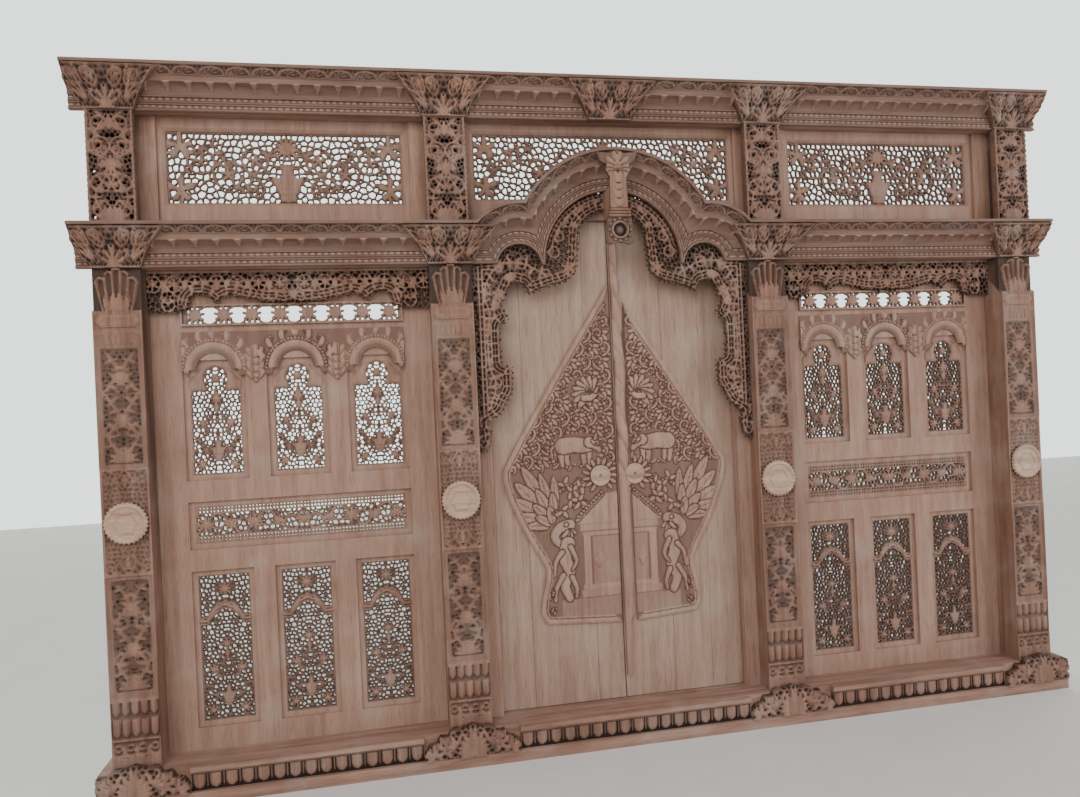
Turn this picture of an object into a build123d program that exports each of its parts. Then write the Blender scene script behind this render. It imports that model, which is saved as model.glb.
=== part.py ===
from build123d import *
import math
import os

# The screen stands on its sill. X runs along the front, Y goes into the depth, Z is up.
# Y = 0 is the middle of the posts, and the carved front faces -Y. All sizes are in millimetres.

# Whole screen
OUTER_POST_X = 1965
INNER_POST_X = 700
POST_SIZE = 172
BEAM_BOTTOM = 2037
TOP_BEAM_BOTTOM = 2638
BEAM_SETBACK = 26

# Sill with its lambrequin band
SILL_HEIGHT = 140
SILL_FRONT_LEDGE = 54
SILL_BACK_LEDGE = 9
SILL_OVERHANG = 135
SILL_LEDGE_HEIGHT = 45
SILL_NOSING = 18
BAND_RECESS = 28
BAND_THICKNESS = 22
LAMBREQUIN_PITCH = 60
TONGUE_DEPTH = 26

# Feet in front of the sill under each post
FOOT_HALF_WIDTH = 195
FOOT_RISE = 24
FOOT_THICKNESS = 42

# Lower posts: heights of the carved blocks, from the top of the sill
FLOWER_BLOCK = 112
TONGUE_BLOCK = 163
LOWER_PANEL = 452
MEDALLION_BLOCK = 408
UPPER_PANEL = 470
NECK_BAND = 55
CARTOUCHE_BAND = 72
BLOCK_PROJECTION = 7
PANEL_MARGIN = 20
PANEL_RECESS = 12
SHELL_PROJECTION = 20
MEDALLION_RADIUS = 82
MEDALLION_THICKNESS = 16
MEDALLION_LOBES = 10
ROUND_SIDES = 12

# Cornice moulding, the same on both beams and round the arch
CORNICE_HALF_LENGTH = 2107
CORNICE_HEIGHT = 162
CORNICE_PROJECTION = 106
CORBEL_INNER_HALF = 188
CORBEL_FOOT_HALF = 90
CORBEL_END_GAP = 14
CORBEL_TOP_GAP = 22
CORBEL_PROJECTION = 18

# Arch over the door
ARCH_CENTRE_Z = 2040
ARCH_RADIUS = 300
SHOULDER_X = 410
SHOULDER_Z = 2023
SHOULDER_RADIUS = 94
STRAIGHT_DROP = 100
ARCH_SIDES = 24
SHOULDER_SIDES = 16
KEY_WIDTH = 172
KEY_THICKNESS = 26
KEY_STEM_WIDTH = 72
PENDANT_WIDTH = 120
PENDANT_TOP = 2215
PENDANT_BOTTOM = 2092

# Pierced boards of the upper stage
TRANSOM_FRONT = 0
TRANSOM_THICKNESS = 36
TRANSOM_BORDER = 84
TRANSOM_BORDER_TOP = 44
TRANSOM_STEP = 12
UPPER_POST_WIDTH = 167
UPPER_CORE_WIDTH = 120
UPPER_CORE_SETBACK = 52
UPPER_BOARD_THICKNESS = 30

# Valances under the beams
VALANCE_THICKNESS = 24
SIDE_VALANCE_FRONT = -16
SIDE_VALANCE_DROP = 167
DOOR_VALANCE_LAP = 22
DOOR_VALANCE_LOBE = 82
DOOR_VALANCE_TIP = 1252

# Side bays
BAY_FRONT = 24
BAY_THICKNESS = 45
BAY_PITCH = 318
GRILLE_WIDTH = 195
GRILLE_THICKNESS = 18
GRILLE_SETBACK = 14
RECESS_MARGIN = 21
ARCADE_BOTTOM = 1585
ARCADE_TOP = 1795
ARCADE_RADIUS = 92
ARCADE_THICKNESS = 14
ROSETTE_BOTTOM = 1819
ROSETTE_TOP = 1904
ROSETTE_COUNT = 8
ROSETTE_THICKNESS = 16
ROSETTE_LAP = 8
TALL_GRILLE_BOTTOM = 1226
TALL_GRILLE_TOP = 1662
LATTICE_BOTTOM = 952
LATTICE_TOP = 1100
LOW_GRILLE_BOTTOM = 247
LOW_GRILLE_TOP = 825
FRIEZE_MARGIN = 4

# Door frame and its two leaves
JAMB_INNER = 566
STOP_WIDTH = 14
LEAF_FRONT = 34
LEAF_THICKNESS = 40
STOP_DEPTH = 40
STOP_GAP = 0.5
LINTEL_BOTTOM = 2235
LINTEL_HEIGHT = 70
LEAF_GAP = 4
HEEL_GAP = 3
HEEL_FLATS = 6
MEETING_GAP = 4
PLANK_GROOVE = 2.5
LEFT_SEAMS = (-405, -121)
RIGHT_SEAMS = (230, 407)
BATTEN_HEIGHT = 90
BATTEN_THICKNESS = 24
BATTEN_LEVELS = (400, 1150, 1950)
BATTEN_HEEL_CLEARANCE = 38
BATTEN_EDGE = 12
PIVOT_RADIUS = 11
PIVOT_CLEARANCE = 0.06
PIVOT_IN_FRAME = 36
SOCKET_END_GAP = 0.3

# Relief on the leaves
MOUNTAIN_TIP = 1968
MOUNTAIN_BASE = 475
MOUNTAIN_HALF = 505
RELIEF_FIELD = 6
RELIEF_RIM = 14
RIM_WIDTH = 26
RELIEF_EDGE = 3
TRUNK_WIDTH = 58
TRUNK_THICKNESS = 28
DISC_X = 78
DISC_Z = 1122
DISC_RADIUS = 45
DISC_THICKNESS = 12
DISC_HOLE = 6

# Peg that shows on the end of the right upper post
PEG_SIZE = 42
PEG_LENGTH = 38
PEG_Z = 2577

# Levels and planes that follow from the sizes above
POST_HALF = POST_SIZE / 2
POST_FRONT = -POST_HALF
BEAM_TOP = BEAM_BOTTOM + CORNICE_HEIGHT
SCREEN_TOP = TOP_BEAM_BOTTOM + CORNICE_HEIGHT
BEAM_FRONT = POST_FRONT + BEAM_SETBACK
SILL_FRONT = POST_FRONT - SILL_FRONT_LEDGE
BAND_BACK = SILL_FRONT + BAND_RECESS
CORNICE_FRONT = BEAM_FRONT - CORNICE_PROJECTION
ARCH_END_X = INNER_POST_X - CORBEL_FOOT_HALF
POST_POSITIONS = (-OUTER_POST_X, -INNER_POST_X, INNER_POST_X, OUTER_POST_X)
BAY_CENTRE = (OUTER_POST_X + INNER_POST_X) / 2
BAY_HALF = (OUTER_POST_X - INNER_POST_X) / 2 - POST_HALF
UPPER_BAY_HALF = (OUTER_POST_X - INNER_POST_X - UPPER_POST_WIDTH) / 2
DOOR_HALF = INNER_POST_X - POST_HALF
UPPER_DOOR_HALF = INNER_POST_X - UPPER_POST_WIDTH / 2
LEAF_MIDDLE = LEAF_FRONT + LEAF_THICKNESS / 2
LEAF_OUTER = JAMB_INNER - HEEL_GAP
PIVOT_X = LEAF_OUTER - LEAF_THICKNESS / 2
LEAF_BOTTOM = SILL_HEIGHT + LEAF_GAP
LEAF_TOP = LINTEL_BOTTOM - LEAF_GAP

# The cornice moulding, from its lower edge up: a bead band, a cove, the band of drops, an ovolo and a
# top board.
# Each pair is a height above the lower edge and how far the moulding stands out there.
CORNICE_STEPS = (
    (0, 24),
    (51, 24),
    (57, 31),
    (88, 42),
    (96, 64),
    (119, 70),
    (147, 98),
    (147, CORNICE_PROJECTION),
)


def flat_wire(points, y):
    return Wire.make_polygon([(x, y, z) for x, z in points], close=True)


def board(points, front, thickness, holes=()):
    """A board with its outline in X and Z, pierced by polygon holes."""
    back = front + thickness
    face = Face(flat_wire(points, back), [flat_wire(hole, back) for hole in holes])
    return Solid.extrude(face, Vector(0, -thickness, 0))


def block(x0, x1, y0, y1, z0, z1):
    return Pos((x0 + x1) / 2, (y0 + y1) / 2, (z0 + z1) / 2) * Box(x1 - x0, y1 - y0, z1 - z0)


def mirror_points(points, axis_x=0):
    return [(2 * axis_x - x, z) for x, z in reversed(points)]


def moved(points, dx, dz):
    return [(x + dx, z + dz) for x, z in points]


def leaf_shape(x, z, length, width, angle):
    """A four-cornered leaf, with its stalk end at x, z and its tip at the angle given."""
    c, s = math.cos(math.radians(angle)), math.sin(math.radians(angle))
    shape = ((0, 0), (0.55 * length, width / 2), (length, 0), (0.55 * length, -width / 2))
    return [(x + c * a - s * b, z + s * a + c * b) for a, b in shape]


def leaf_pair(axis_x, dx, z, length, width, angle):
    one = leaf_shape(axis_x + dx, z, length, width, angle)
    return [one, mirror_points(one, axis_x)]


def fan_points(x, z, radius, start, end, lobes, dip):
    """The scalloped edge of a fan: one point on each lobe and one dip between lobes."""
    step = (end - start) / (2 * lobes)
    points = []
    for i in range(2 * lobes + 1):
        a = math.radians(start + i * step)
        r = radius if i % 2 else radius - dip
        points.append((x + r * math.cos(a), z + r * math.sin(a)))
    return points


def round_plate(x, z, radius, front, thickness):
    """A small turned disc, with as many flats as its size needs."""
    step = math.tau / ROUND_SIDES
    rim = [(x + radius * math.cos(i * step), z + radius * math.sin(i * step)) for i in range(ROUND_SIDES)]
    return board(rim, front, thickness)


def write(name, shape):
    export_step(shape, os.path.join("parts", name + ".step"))


def cornice_section(x, bottom):
    """The cornice moulding as a face that stands across the X axis."""
    outline = [(0, 0), *CORNICE_STEPS, (CORNICE_HEIGHT, CORNICE_PROJECTION), (CORNICE_HEIGHT, 0)]
    corners = [(x, BEAM_FRONT - out, bottom + height) for height, out in outline]
    return Face(Wire.make_polygon(corners, close=True))


def cutter_outline(radius):
    """What is cut away in front of the moulding round an opening: distances from the centre, and out."""
    spare = 1
    moulding = [(radius + height, out) for height, out in CORNICE_STEPS]
    end = CORNICE_PROJECTION + spare
    return [(0, end), (0, -spare), (radius, -spare), *moulding, (moulding[-1][0], end)]


def round_angles(sides):
    return [math.pi / 2 + i * math.tau / sides for i in range(sides + 1)]


def round_cutter(x, z, radius, sides):
    """The cutter of a round opening, made of flats that meet in mitres."""
    outline = cutter_outline(radius)
    faces = []
    for a, b in zip(round_angles(sides), round_angles(sides)[1:]):
        for (r0, out0), (r1, out1) in zip(outline[1:], outline[2:] + outline[:1]):
            corners = [(r0, a, out0), (r0, b, out0), (r1, b, out1), (r1, a, out1)]
            corners = [(x + r * math.cos(t), BEAM_FRONT - out, z + r * math.sin(t)) for r, t, out in corners]
            if r0 == 0:
                corners = corners[1:]
            if r1 == 0:
                corners = corners[:3]
            faces.append(Face(Wire.make_polygon(corners, close=True)))
    return Solid(Shell(faces))


def straight_cutter(x0, x1, z, radius):
    """The cutter of a straight run whose lower edge lies at z + radius."""
    outline = [(x0, BEAM_FRONT - out, z + height) for height, out in cutter_outline(radius)]
    return Solid.extrude(Face(Wire.make_polygon(outline, close=True)), Vector(x1 - x0, 0, 0))


def corbel_halves(x):
    """Left and right half widths at the top of a corbel: the end corbels stop short of the cornice end."""
    outer = CORNICE_HALF_LENGTH - CORBEL_END_GAP - abs(x)
    wide = CORBEL_INNER_HALF
    if outer > wide:
        return wide, wide
    return (outer, wide) if x < 0 else (wide, outer)


def stacked(sections):
    """A solid with flat sides between level outlines that have the same number of corners."""
    loops = [sections[0], sections[-1]]
    for low, high in zip(sections, sections[1:]):
        for i, corner in enumerate(low):
            beside = (i + 1) % len(low)
            loops.append([corner, low[beside], high[beside], high[i]])
    return Solid(Shell([Face(Wire.make_polygon(loop, close=True)) for loop in loops]))


def corbel(x, cornice_bottom):
    """A flared block with hollow sides that stands in front of the cornice."""
    bottom = cornice_bottom
    top = cornice_bottom + CORNICE_HEIGHT - CORBEL_TOP_GAP
    left, right = corbel_halves(x)
    foot = CORBEL_FOOT_HALF
    sections = []
    for share, spread, out in ((0, 0, 0.35), (0.45, 0.3, 0.55), (1, 1, 1)):
        z = bottom + share * (top - bottom)
        front = BEAM_FRONT - out * (CORNICE_PROJECTION + CORBEL_PROJECTION)
        x0 = x - foot - spread * (left - foot)
        x1 = x + foot + spread * (right - foot)
        sections.append([(x0, BEAM_FRONT, z), (x1, BEAM_FRONT, z), (x1, front, z), (x0, front, z)])
    return stacked(sections)


def cornice_run(x0, x1, bottom, corbel_positions):
    """A straight length of cornice, cut back where the corbels stand."""
    run = Solid.extrude(cornice_section(x0, bottom), Vector(x1 - x0, 0, 0))
    return run.cut(*[corbel(x, bottom) for x in corbel_positions])


def sill_beam():
    """The sill: a beam with a ledge below and a nosing above, and the lambrequin band set in between."""
    half = OUTER_POST_X + SILL_OVERHANG
    back = POST_HALF + SILL_BACK_LEDGE
    nosing_bottom = SILL_HEIGHT - SILL_NOSING
    outline = [
        (-half, back, 0),
        (-half, SILL_FRONT, 0),
        (-half, SILL_FRONT, SILL_LEDGE_HEIGHT),
        (-half, BAND_BACK, SILL_LEDGE_HEIGHT),
        (-half, BAND_BACK, nosing_bottom),
        (-half, SILL_FRONT, nosing_bottom),
        (-half, SILL_FRONT, SILL_HEIGHT),
        (-half, back, SILL_HEIGHT),
    ]
    beam = Solid.extrude(Face(Wire.make_polygon(outline, close=True)), Vector(2 * half, 0, 0))
    cuts = []
    for x in POST_POSITIONS:
        x0, x1 = foot_span(x)
        cuts.append(block(x0, x1, SILL_FRONT - 1, BAND_BACK, nosing_bottom - 1, SILL_HEIGHT + 1))
    depth = PIVOT_IN_FRAME + SOCKET_END_GAP
    for side in (-1, 1):
        ends = (Align.CENTER, Align.CENTER, Align.MAX)
        socket = Cylinder(PIVOT_RADIUS + PIVOT_CLEARANCE, depth, align=ends)
        cuts.append(Pos(side * PIVOT_X, LEAF_MIDDLE, SILL_HEIGHT) * socket)
    return beam.cut(*cuts)


def foot_span(x):
    limit = OUTER_POST_X + SILL_OVERHANG
    return max(x - FOOT_HALF_WIDTH, -limit), min(x + FOOT_HALF_WIDTH, limit)


def sill_band(x0, x1):
    """A row of hanging tabs with a groove between each two, cut from one strip."""
    top = SILL_HEIGHT - SILL_NOSING
    bottom = SILL_LEDGE_HEIGHT
    count = int((x1 - x0) // LAMBREQUIN_PITCH)
    pitch = (x1 - x0) / count
    points = [(x0, top)]
    for i in range(count):
        left = x0 + i * pitch
        points += [(left, top - TONGUE_DEPTH), (left + 0.14 * pitch, bottom), (left + 0.86 * pitch, bottom)]
    points += [(x1, top - TONGUE_DEPTH), (x1, top)]
    return board(points, BAND_BACK - BAND_THICKNESS, BAND_THICKNESS)


def foot(x):
    """A leafy scroll apron in front of the sill, wider than the post above it."""
    top = SILL_HEIGHT + FOOT_RISE
    bottom = SILL_LEDGE_HEIGHT
    x0, x1 = foot_span(x)
    half = [
        (0, top + 10),
        (40, top - 6),
        (POST_HALF, top - 8),
        (POST_HALF + 14, top - 30),
        (POST_HALF + 44, top - 26),
        (POST_HALF + 58, top - 52),
        (POST_HALF + 88, top - 60),
        (FOOT_HALF_WIDTH, bottom + 22),
        (FOOT_HALF_WIDTH, bottom),
    ]
    outline = mirror_points(half)[:-1] + half
    outline = [(min(max(px + x, x0), x1), pz) for px, pz in outline]
    return board(outline, BAND_BACK - FOOT_THICKNESS, FOOT_THICKNESS)


def post_levels():
    """The level of each joint between the blocks of a lower post, from the sill up."""
    levels = [SILL_HEIGHT]
    blocks = (FLOWER_BLOCK, TONGUE_BLOCK, LOWER_PANEL, MEDALLION_BLOCK, UPPER_PANEL)
    for height in (*blocks, NECK_BAND, CARTOUCHE_BAND):
        levels.append(levels[-1] + height)
    return levels


def medallion_level():
    levels = post_levels()
    return (levels[3] + levels[4]) / 2


def panel_carving(x, bottom, top):
    """The sunk field of a post panel with its vine: leaves in pairs, two flowers and a fan at the foot."""
    front = POST_FRONT
    height = top - bottom
    leaves = []
    for share, angle in ((0.3, 50), (0.62, -46)):
        leaves += leaf_pair(x, 6, bottom + share * height, 64, 34, angle)
    pieces = [board(leaf, front, PANEL_RECESS + 1) for leaf in leaves]
    flower = fan_points(x, bottom + 0.8 * height, 30, 45, 405, 2, 0)[:-1]
    pieces.append(board(flower, front, PANEL_RECESS + 1))
    fan = fan_points(x, bottom + PANEL_MARGIN, 46, 0, 180, 2, 6)
    pieces.append(board(fan, front, PANEL_RECESS + 1))
    return pieces


def post(x):
    """A lower post with its carved blocks, sunk panels, cartouche and shell capital."""
    z = post_levels()
    half = POST_HALF
    shaft = block(x - half, x + half, -half, half, z[0], BEAM_BOTTOM)
    out = BLOCK_PROJECTION
    blocks = [
        block(x - half, x + half, -half - out, -half, z[0], z[1] - 5),
        block(x - half - out / 2, x + half + out / 2, -half - out, -half, z[1], z[2] - 8),
        block(x - half, x + half, -half - out, -half, z[3], z[4]),
    ]
    grooves = []
    for i in range(3):
        groove_x = x + (i - 1) * POST_SIZE / 3
        tongue = [(groove_x - 20, z[2] - 22), (groove_x, z[1] + 18), (groove_x + 20, z[2] - 22)]
        grooves.append(board(tongue, -half - out - 1, out))
    panels = []
    for low, high in ((z[2], z[3]), (z[4], z[5])):
        inner = half - PANEL_MARGIN
        panels.append(
            block(
                x - inner,
                x + inner,
                -half - 1,
                -half + PANEL_RECESS,
                low + PANEL_MARGIN,
                high - PANEL_MARGIN,
            )
        )
    carving = panel_carving(x, z[2], z[3]) + panel_carving(x, z[4], z[5])
    sprays = [(x - half + 6, z[0] + 14)]
    for i in range(5):
        height = 84 if i % 2 else 46
        sprays.append((x - half + 6 + i * (POST_SIZE - 12) / 4, z[0] + height))
    sprays.append((x + half - 6, z[0] + 14))
    carving.append(board(sprays, -half - out - 6, 7))
    cartouche = [
        (x - half + 6, (z[6] + z[7]) / 2),
        (x - half + 26, z[7] - 10),
        (x + half - 26, z[7] - 10),
        (x + half - 6, (z[6] + z[7]) / 2),
        (x + half - 26, z[6] + 10),
        (x - half + 26, z[6] + 10),
    ]
    carving.append(board(cartouche, -half - out - 4, out + 5))
    shell = fan_points(x, z[7] + 8, BEAM_BOTTOM - z[7] - 12, 62, 118, 4, 18)
    shell += [(x - half + 40, z[7]), (x + half - 40, z[7])]
    carving.append(board(shell, -half - SHELL_PROJECTION, SHELL_PROJECTION + 1))
    body = shaft.fuse(*blocks).cut(*grooves, *panels)
    return body.fuse(*carving)


def medallion(x):
    """A scalloped dish with a sunk flower of six petals."""
    z = medallion_level()
    back = POST_FRONT - BLOCK_PROJECTION
    rim = fan_points(x, z, MEDALLION_RADIUS, 0, 360, MEDALLION_LOBES, 7)[:-1]
    dish = board(rim, back - MEDALLION_THICKNESS, MEDALLION_THICKNESS)
    petals = fan_points(x, z, 46, 0, 360, 6, 16)[:-1]
    return dish.cut(board(petals, back - MEDALLION_THICKNESS - 1, 7))


def lower_beam(side):
    x0, x1 = sorted((side * DOOR_HALF, side * (OUTER_POST_X + POST_HALF)))
    return block(x0, x1, BEAM_FRONT, POST_HALF, BEAM_BOTTOM, BEAM_TOP)


def arch_cornice():
    """The cornice where it bends over the door: a board cut round one large and two small openings."""
    front = CORNICE_FRONT
    back = BEAM_FRONT
    bottom = BEAM_BOTTOM
    rounds = (
        (0, ARCH_CENTRE_Z, ARCH_RADIUS, ARCH_SIDES),
        (-SHOULDER_X, SHOULDER_Z, SHOULDER_RADIUS, SHOULDER_SIDES),
        (SHOULDER_X, SHOULDER_Z, SHOULDER_RADIUS, SHOULDER_SIDES),
    )
    body = block(-ARCH_END_X, ARCH_END_X, front, back, bottom, BEAM_TOP)
    for x, z, radius, sides in rounds:
        reach = radius + CORNICE_HEIGHT
        rim = [(x + reach * math.cos(a), z + reach * math.sin(a)) for a in round_angles(sides)[:-1]]
        body = body.fuse(board(rim, front, CORNICE_PROJECTION))
    far = 2 * ARCH_END_X
    cutters = [
        block(-far, -ARCH_END_X, front - 1, back + 1, 0, BEAM_TOP + far),
        block(ARCH_END_X, far, front - 1, back + 1, 0, BEAM_TOP + far),
        block(-far, far, front - 1, back + 1, 0, bottom),
    ]
    cutters += [round_cutter(x, z, radius, sides) for x, z, radius, sides in rounds]
    for side in (-1, 1):
        inner = side * (SHOULDER_X + SHOULDER_RADIUS)
        outer = side * (ARCH_END_X + 1)
        cutters.append(straight_cutter(inner, outer, bottom - STRAIGHT_DROP, STRAIGHT_DROP))
    for cutter in cutters:
        body = body.cut(cutter)
    return body


def arch_keystone():
    """The carved key that runs down over the arch and ends in a horseshoe pendant."""
    top = ARCH_CENTRE_Z + ARCH_RADIUS + CORNICE_HEIGHT - 18
    neck = ARCH_CENTRE_Z + ARCH_RADIUS + 30
    front = CORNICE_FRONT - KEY_THICKNESS
    half = [
        (0, top),
        (30, top - 14),
        (KEY_WIDTH / 2, top - 8),
        (KEY_WIDTH / 2 - 12, top - 44),
        (46, top - 60),
        (52, top - 84),
        (34, neck),
        (38, PENDANT_TOP + 26),
        (46, PENDANT_TOP + 16),
        (46, PENDANT_TOP),
        (PENDANT_WIDTH / 2 - 8, PENDANT_TOP - 20),
        (PENDANT_WIDTH / 2 - 4, PENDANT_BOTTOM + 26),
        (PENDANT_WIDTH / 2, PENDANT_BOTTOM + 8),
        (PENDANT_WIDTH / 2 - 20, PENDANT_BOTTOM),
        (18, PENDANT_BOTTOM + 8),
    ]
    outline = half + mirror_points(half)[:-1]
    key = board(outline, front, KEY_THICKNESS)
    dish = round_plate(0, (PENDANT_TOP + PENDANT_BOTTOM) / 2, 32, front - 1, 8)
    stem_half = KEY_STEM_WIDTH / 2
    stem_top = ARCH_CENTRE_Z + ARCH_RADIUS - stem_half * math.tan(math.pi / ARCH_SIDES)
    stem = block(-stem_half, stem_half, CORNICE_FRONT, BEAM_FRONT, PENDANT_TOP, stem_top)
    return key.cut(dish).fuse(stem)


def pierced_field(x, x_half, bottom, top, columns, rows):
    """Leaf-shaped holes in mirrored rows."""
    holes = []
    for row in range(rows):
        z = bottom + (row + 0.5) * (top - bottom) / rows
        for column in range(columns):
            dx = 46 + (column + 0.1 + 0.4 * (row % 2)) * (x_half - 90) / columns
            turn = 35 if (row + column) % 2 else -35
            length = 0.62 * (top - bottom) / rows
            rise = length / 2 * math.sin(math.radians(turn))
            holes += leaf_pair(x, dx, z - rise, length, 0.44 * length, turn)
    return holes


def transom(x, half):
    """One carved and pierced board of the upper stage, with a stepped border."""
    border = TRANSOM_BORDER if x else TRANSOM_BORDER_TOP
    bottom = BEAM_TOP if x else LINTEL_BOTTOM + LINTEL_HEIGHT
    top = TOP_BEAM_BOTTOM
    low = BEAM_TOP + TRANSOM_BORDER + 20
    high = top - TRANSOM_BORDER_TOP
    holes = pierced_field(x, half - border, low, high, 3, 2)
    outline = [(x - half, bottom), (x + half, bottom), (x + half, top), (x - half, top)]
    field = board(outline, TRANSOM_FRONT, TRANSOM_THICKNESS, holes)
    inner = half - border
    sunk = block(x - inner, x + inner, TRANSOM_FRONT - 1, TRANSOM_FRONT + TRANSOM_STEP, low - 8, high + 8)
    return field.cut(sunk)


def upper_post(x):
    """An upper post: a plain core behind an openwork board."""
    half = UPPER_POST_WIDTH / 2
    core_half = UPPER_CORE_WIDTH / 2
    low, high = BEAM_TOP, TOP_BEAM_BOTTOM
    height = high - low
    board_back = POST_FRONT + UPPER_BOARD_THICKNESS
    holes = []
    for share, angle in ((0.3, 46), (0.64, 46)):
        holes += leaf_pair(x, 12, low + share * height, 84, 36, angle)
    fan = fan_points(x, low + 12, 62, 12, 168, 3, 10)
    front = board(
        [(x - half, low), (x + half, low), (x + half, high), (x - half, high)],
        POST_FRONT,
        UPPER_BOARD_THICKNESS,
        holes,
    )
    core = block(x - core_half, x + core_half, POST_FRONT + UPPER_CORE_SETBACK, POST_HALF, low, high)
    ties = [
        block(x - core_half, x + core_half, board_back, POST_FRONT + UPPER_CORE_SETBACK, low, low + 40),
        block(x - core_half, x + core_half, board_back, POST_FRONT + UPPER_CORE_SETBACK, high - 40, high),
    ]
    shape = front.fuse(core, *ties, board(fan, POST_FRONT - 6, 7))
    if x == max(POST_POSITIONS):
        peg_half = PEG_SIZE / 2
        middle = (POST_FRONT + UPPER_CORE_SETBACK + POST_HALF) / 2
        peg = block(
            x + core_half - 1,
            x + half + PEG_LENGTH,
            middle - peg_half,
            middle + peg_half,
            PEG_Z - peg_half,
            PEG_Z + peg_half,
        )
        shape = shape.fuse(peg)
    return shape


def side_valance_edge(half):
    """The scalloped lower edge of a side valance, from its middle to its end, measured from the top."""
    drop = SIDE_VALANCE_DROP
    share = ((0, 0.82), (0.14, 0.88), (0.3, 0.84), (0.44, 0.66), (0.52, 0.52), (0.6, 0.42), (0.63, 0.5))
    share += ((0.68, 0.3), (0.78, 0.2), (0.88, 0.3), (0.93, 0.6), (0.96, 1), (1, 1))
    return [(a * half, BEAM_BOTTOM - b * drop) for a, b in share]


def side_valance(side):
    """A scalloped and pierced board that hangs under the beam between two posts."""
    x = side * BAY_CENTRE
    edge = side_valance_edge(BAY_HALF)
    right = [(x + a, b) for a, b in edge]
    left = mirror_points(right, x)[:-1]
    outline = left + right + [(x + BAY_HALF, BEAM_BOTTOM), (x - BAY_HALF, BEAM_BOTTOM)]
    holes = []
    for share, angle in ((0.08, 26), (0.3, -26)):
        z = BEAM_BOTTOM - 62 - (18 if angle > 0 else -18)
        holes += leaf_pair(x, share * BAY_HALF, z, 84, 34, angle)
    return board(outline, SIDE_VALANCE_FRONT, VALANCE_THICKNESS, holes)


def door_valance(side):
    """Half of the scalloped openwork that follows the arch and runs down the post."""
    drop = BEAM_BOTTOM - DOOR_VALANCE_TIP
    rim = ARCH_RADIUS + DOOR_VALANCE_LAP
    lobe_rise = ARCH_RADIUS - DOOR_VALANCE_LOBE
    lobe_half = ARCH_RADIUS / 2
    outline = []
    for i in range(4):
        turn = math.radians(i * 22)
        z = ARCH_CENTRE_Z + 0.45 * lobe_rise + 0.55 * lobe_rise * math.cos(turn)
        outline.append((lobe_half * math.sin(turn), z))
    inner = ((0.256, 0.948), (0.324, 0.902), (0.485, 0.866), (0.612, 0.832), (0.651, 0.883), (0.717, 0.896))
    inner += ((0.792, 0.782), (0.744, 0.713), (0.806, 0.665), (0.806, 0.476), (0.736, 0.45), (0.738, 0.324))
    inner += ((0.829, 0.2), (0.922, 0.158), (0.888, 0.099), (0.912, 0.048), (0.941, 0))
    outline += [(a * DOOR_HALF, DOOR_VALANCE_TIP + b * drop) for a, b in inner]
    outline += [(DOOR_HALF, DOOR_VALANCE_TIP), (DOOR_HALF, BEAM_BOTTOM + DOOR_VALANCE_LAP)]
    arc = SHOULDER_RADIUS + DOOR_VALANCE_LAP
    for angle in (20, 55, 90, 120):
        turn = math.radians(angle)
        outline.append((SHOULDER_X + arc * math.cos(turn), SHOULDER_Z + arc * math.sin(turn)))
    for i in range(6):
        turn = math.radians(16 + i * 14)
        outline.append((rim * math.cos(turn), ARCH_CENTRE_Z + rim * math.sin(turn)))
    outline.append((0, ARCH_CENTRE_Z + rim))
    holes = []
    for angle in (40, 64):
        turn = math.radians(angle)
        reach = ARCH_RADIUS - 0.6 * DOOR_VALANCE_LOBE
        x, z = reach * math.cos(turn), ARCH_CENTRE_Z + reach * math.sin(turn)
        holes.append(leaf_shape(x, z, 0.16 * ARCH_RADIUS, 0.09 * ARCH_RADIUS, angle + 12))
    for a, b, length, angle in (
        (0.537, 0.904, 0.09, 20),
        (0.651, 0.978, 0.1, -24),
        (0.888, 0.775, 0.14, 86),
        (0.847, 0.392, 0.14, 74),
    ):
        x, z = a * DOOR_HALF, DOOR_VALANCE_TIP + b * drop
        holes.append(leaf_shape(x, z, length * DOOR_HALF, 0.04 * DOOR_HALF, angle))
    if side < 0:
        outline = mirror_points(outline)
        holes = [mirror_points(hole) for hole in holes]
    return board(outline, BEAM_FRONT, VALANCE_THICKNESS, holes)


def bay_columns(side):
    return [side * BAY_CENTRE + i * BAY_PITCH for i in (-1, 0, 1)]


def rectangle(x0, x1, z0, z1):
    return [(x0, z0), (x1, z0), (x1, z1), (x0, z1)]


def lobed_head(x, half, bottom, top):
    """An upright grille outline with a lobed head and cut lower corners."""
    right = [(half, bottom), (half, top - 62), (half - 46, top - 14)]
    left = mirror_points(right)
    outline = right + [(0, top)] + left
    return moved(outline, x, 0)


def bay_openings(side, extra):
    """The windows of a bay: three upright ones, one long one and three more below."""
    half = GRILLE_WIDTH / 2 + extra
    columns = bay_columns(side)
    windows = []
    for x in columns:
        if extra:
            low, high = TALL_GRILLE_BOTTOM - extra, TALL_GRILLE_TOP + extra
            windows.append(rectangle(x - half, x + half, low, high))
        else:
            windows.append(lobed_head(x, half, TALL_GRILLE_BOTTOM, TALL_GRILLE_TOP))
        windows.append(rectangle(x - half, x + half, LOW_GRILLE_BOTTOM - extra, LOW_GRILLE_TOP + extra))
    low, high = LATTICE_BOTTOM - extra, LATTICE_TOP + extra
    windows.append(rectangle(columns[0] - half, columns[2] + half, low, high))
    if not extra:
        low, high = ROSETTE_BOTTOM + ROSETTE_LAP, ROSETTE_TOP - ROSETTE_LAP
        windows.append(rectangle(columns[0] - half, columns[2] + half, low, high))
    return windows


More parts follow.
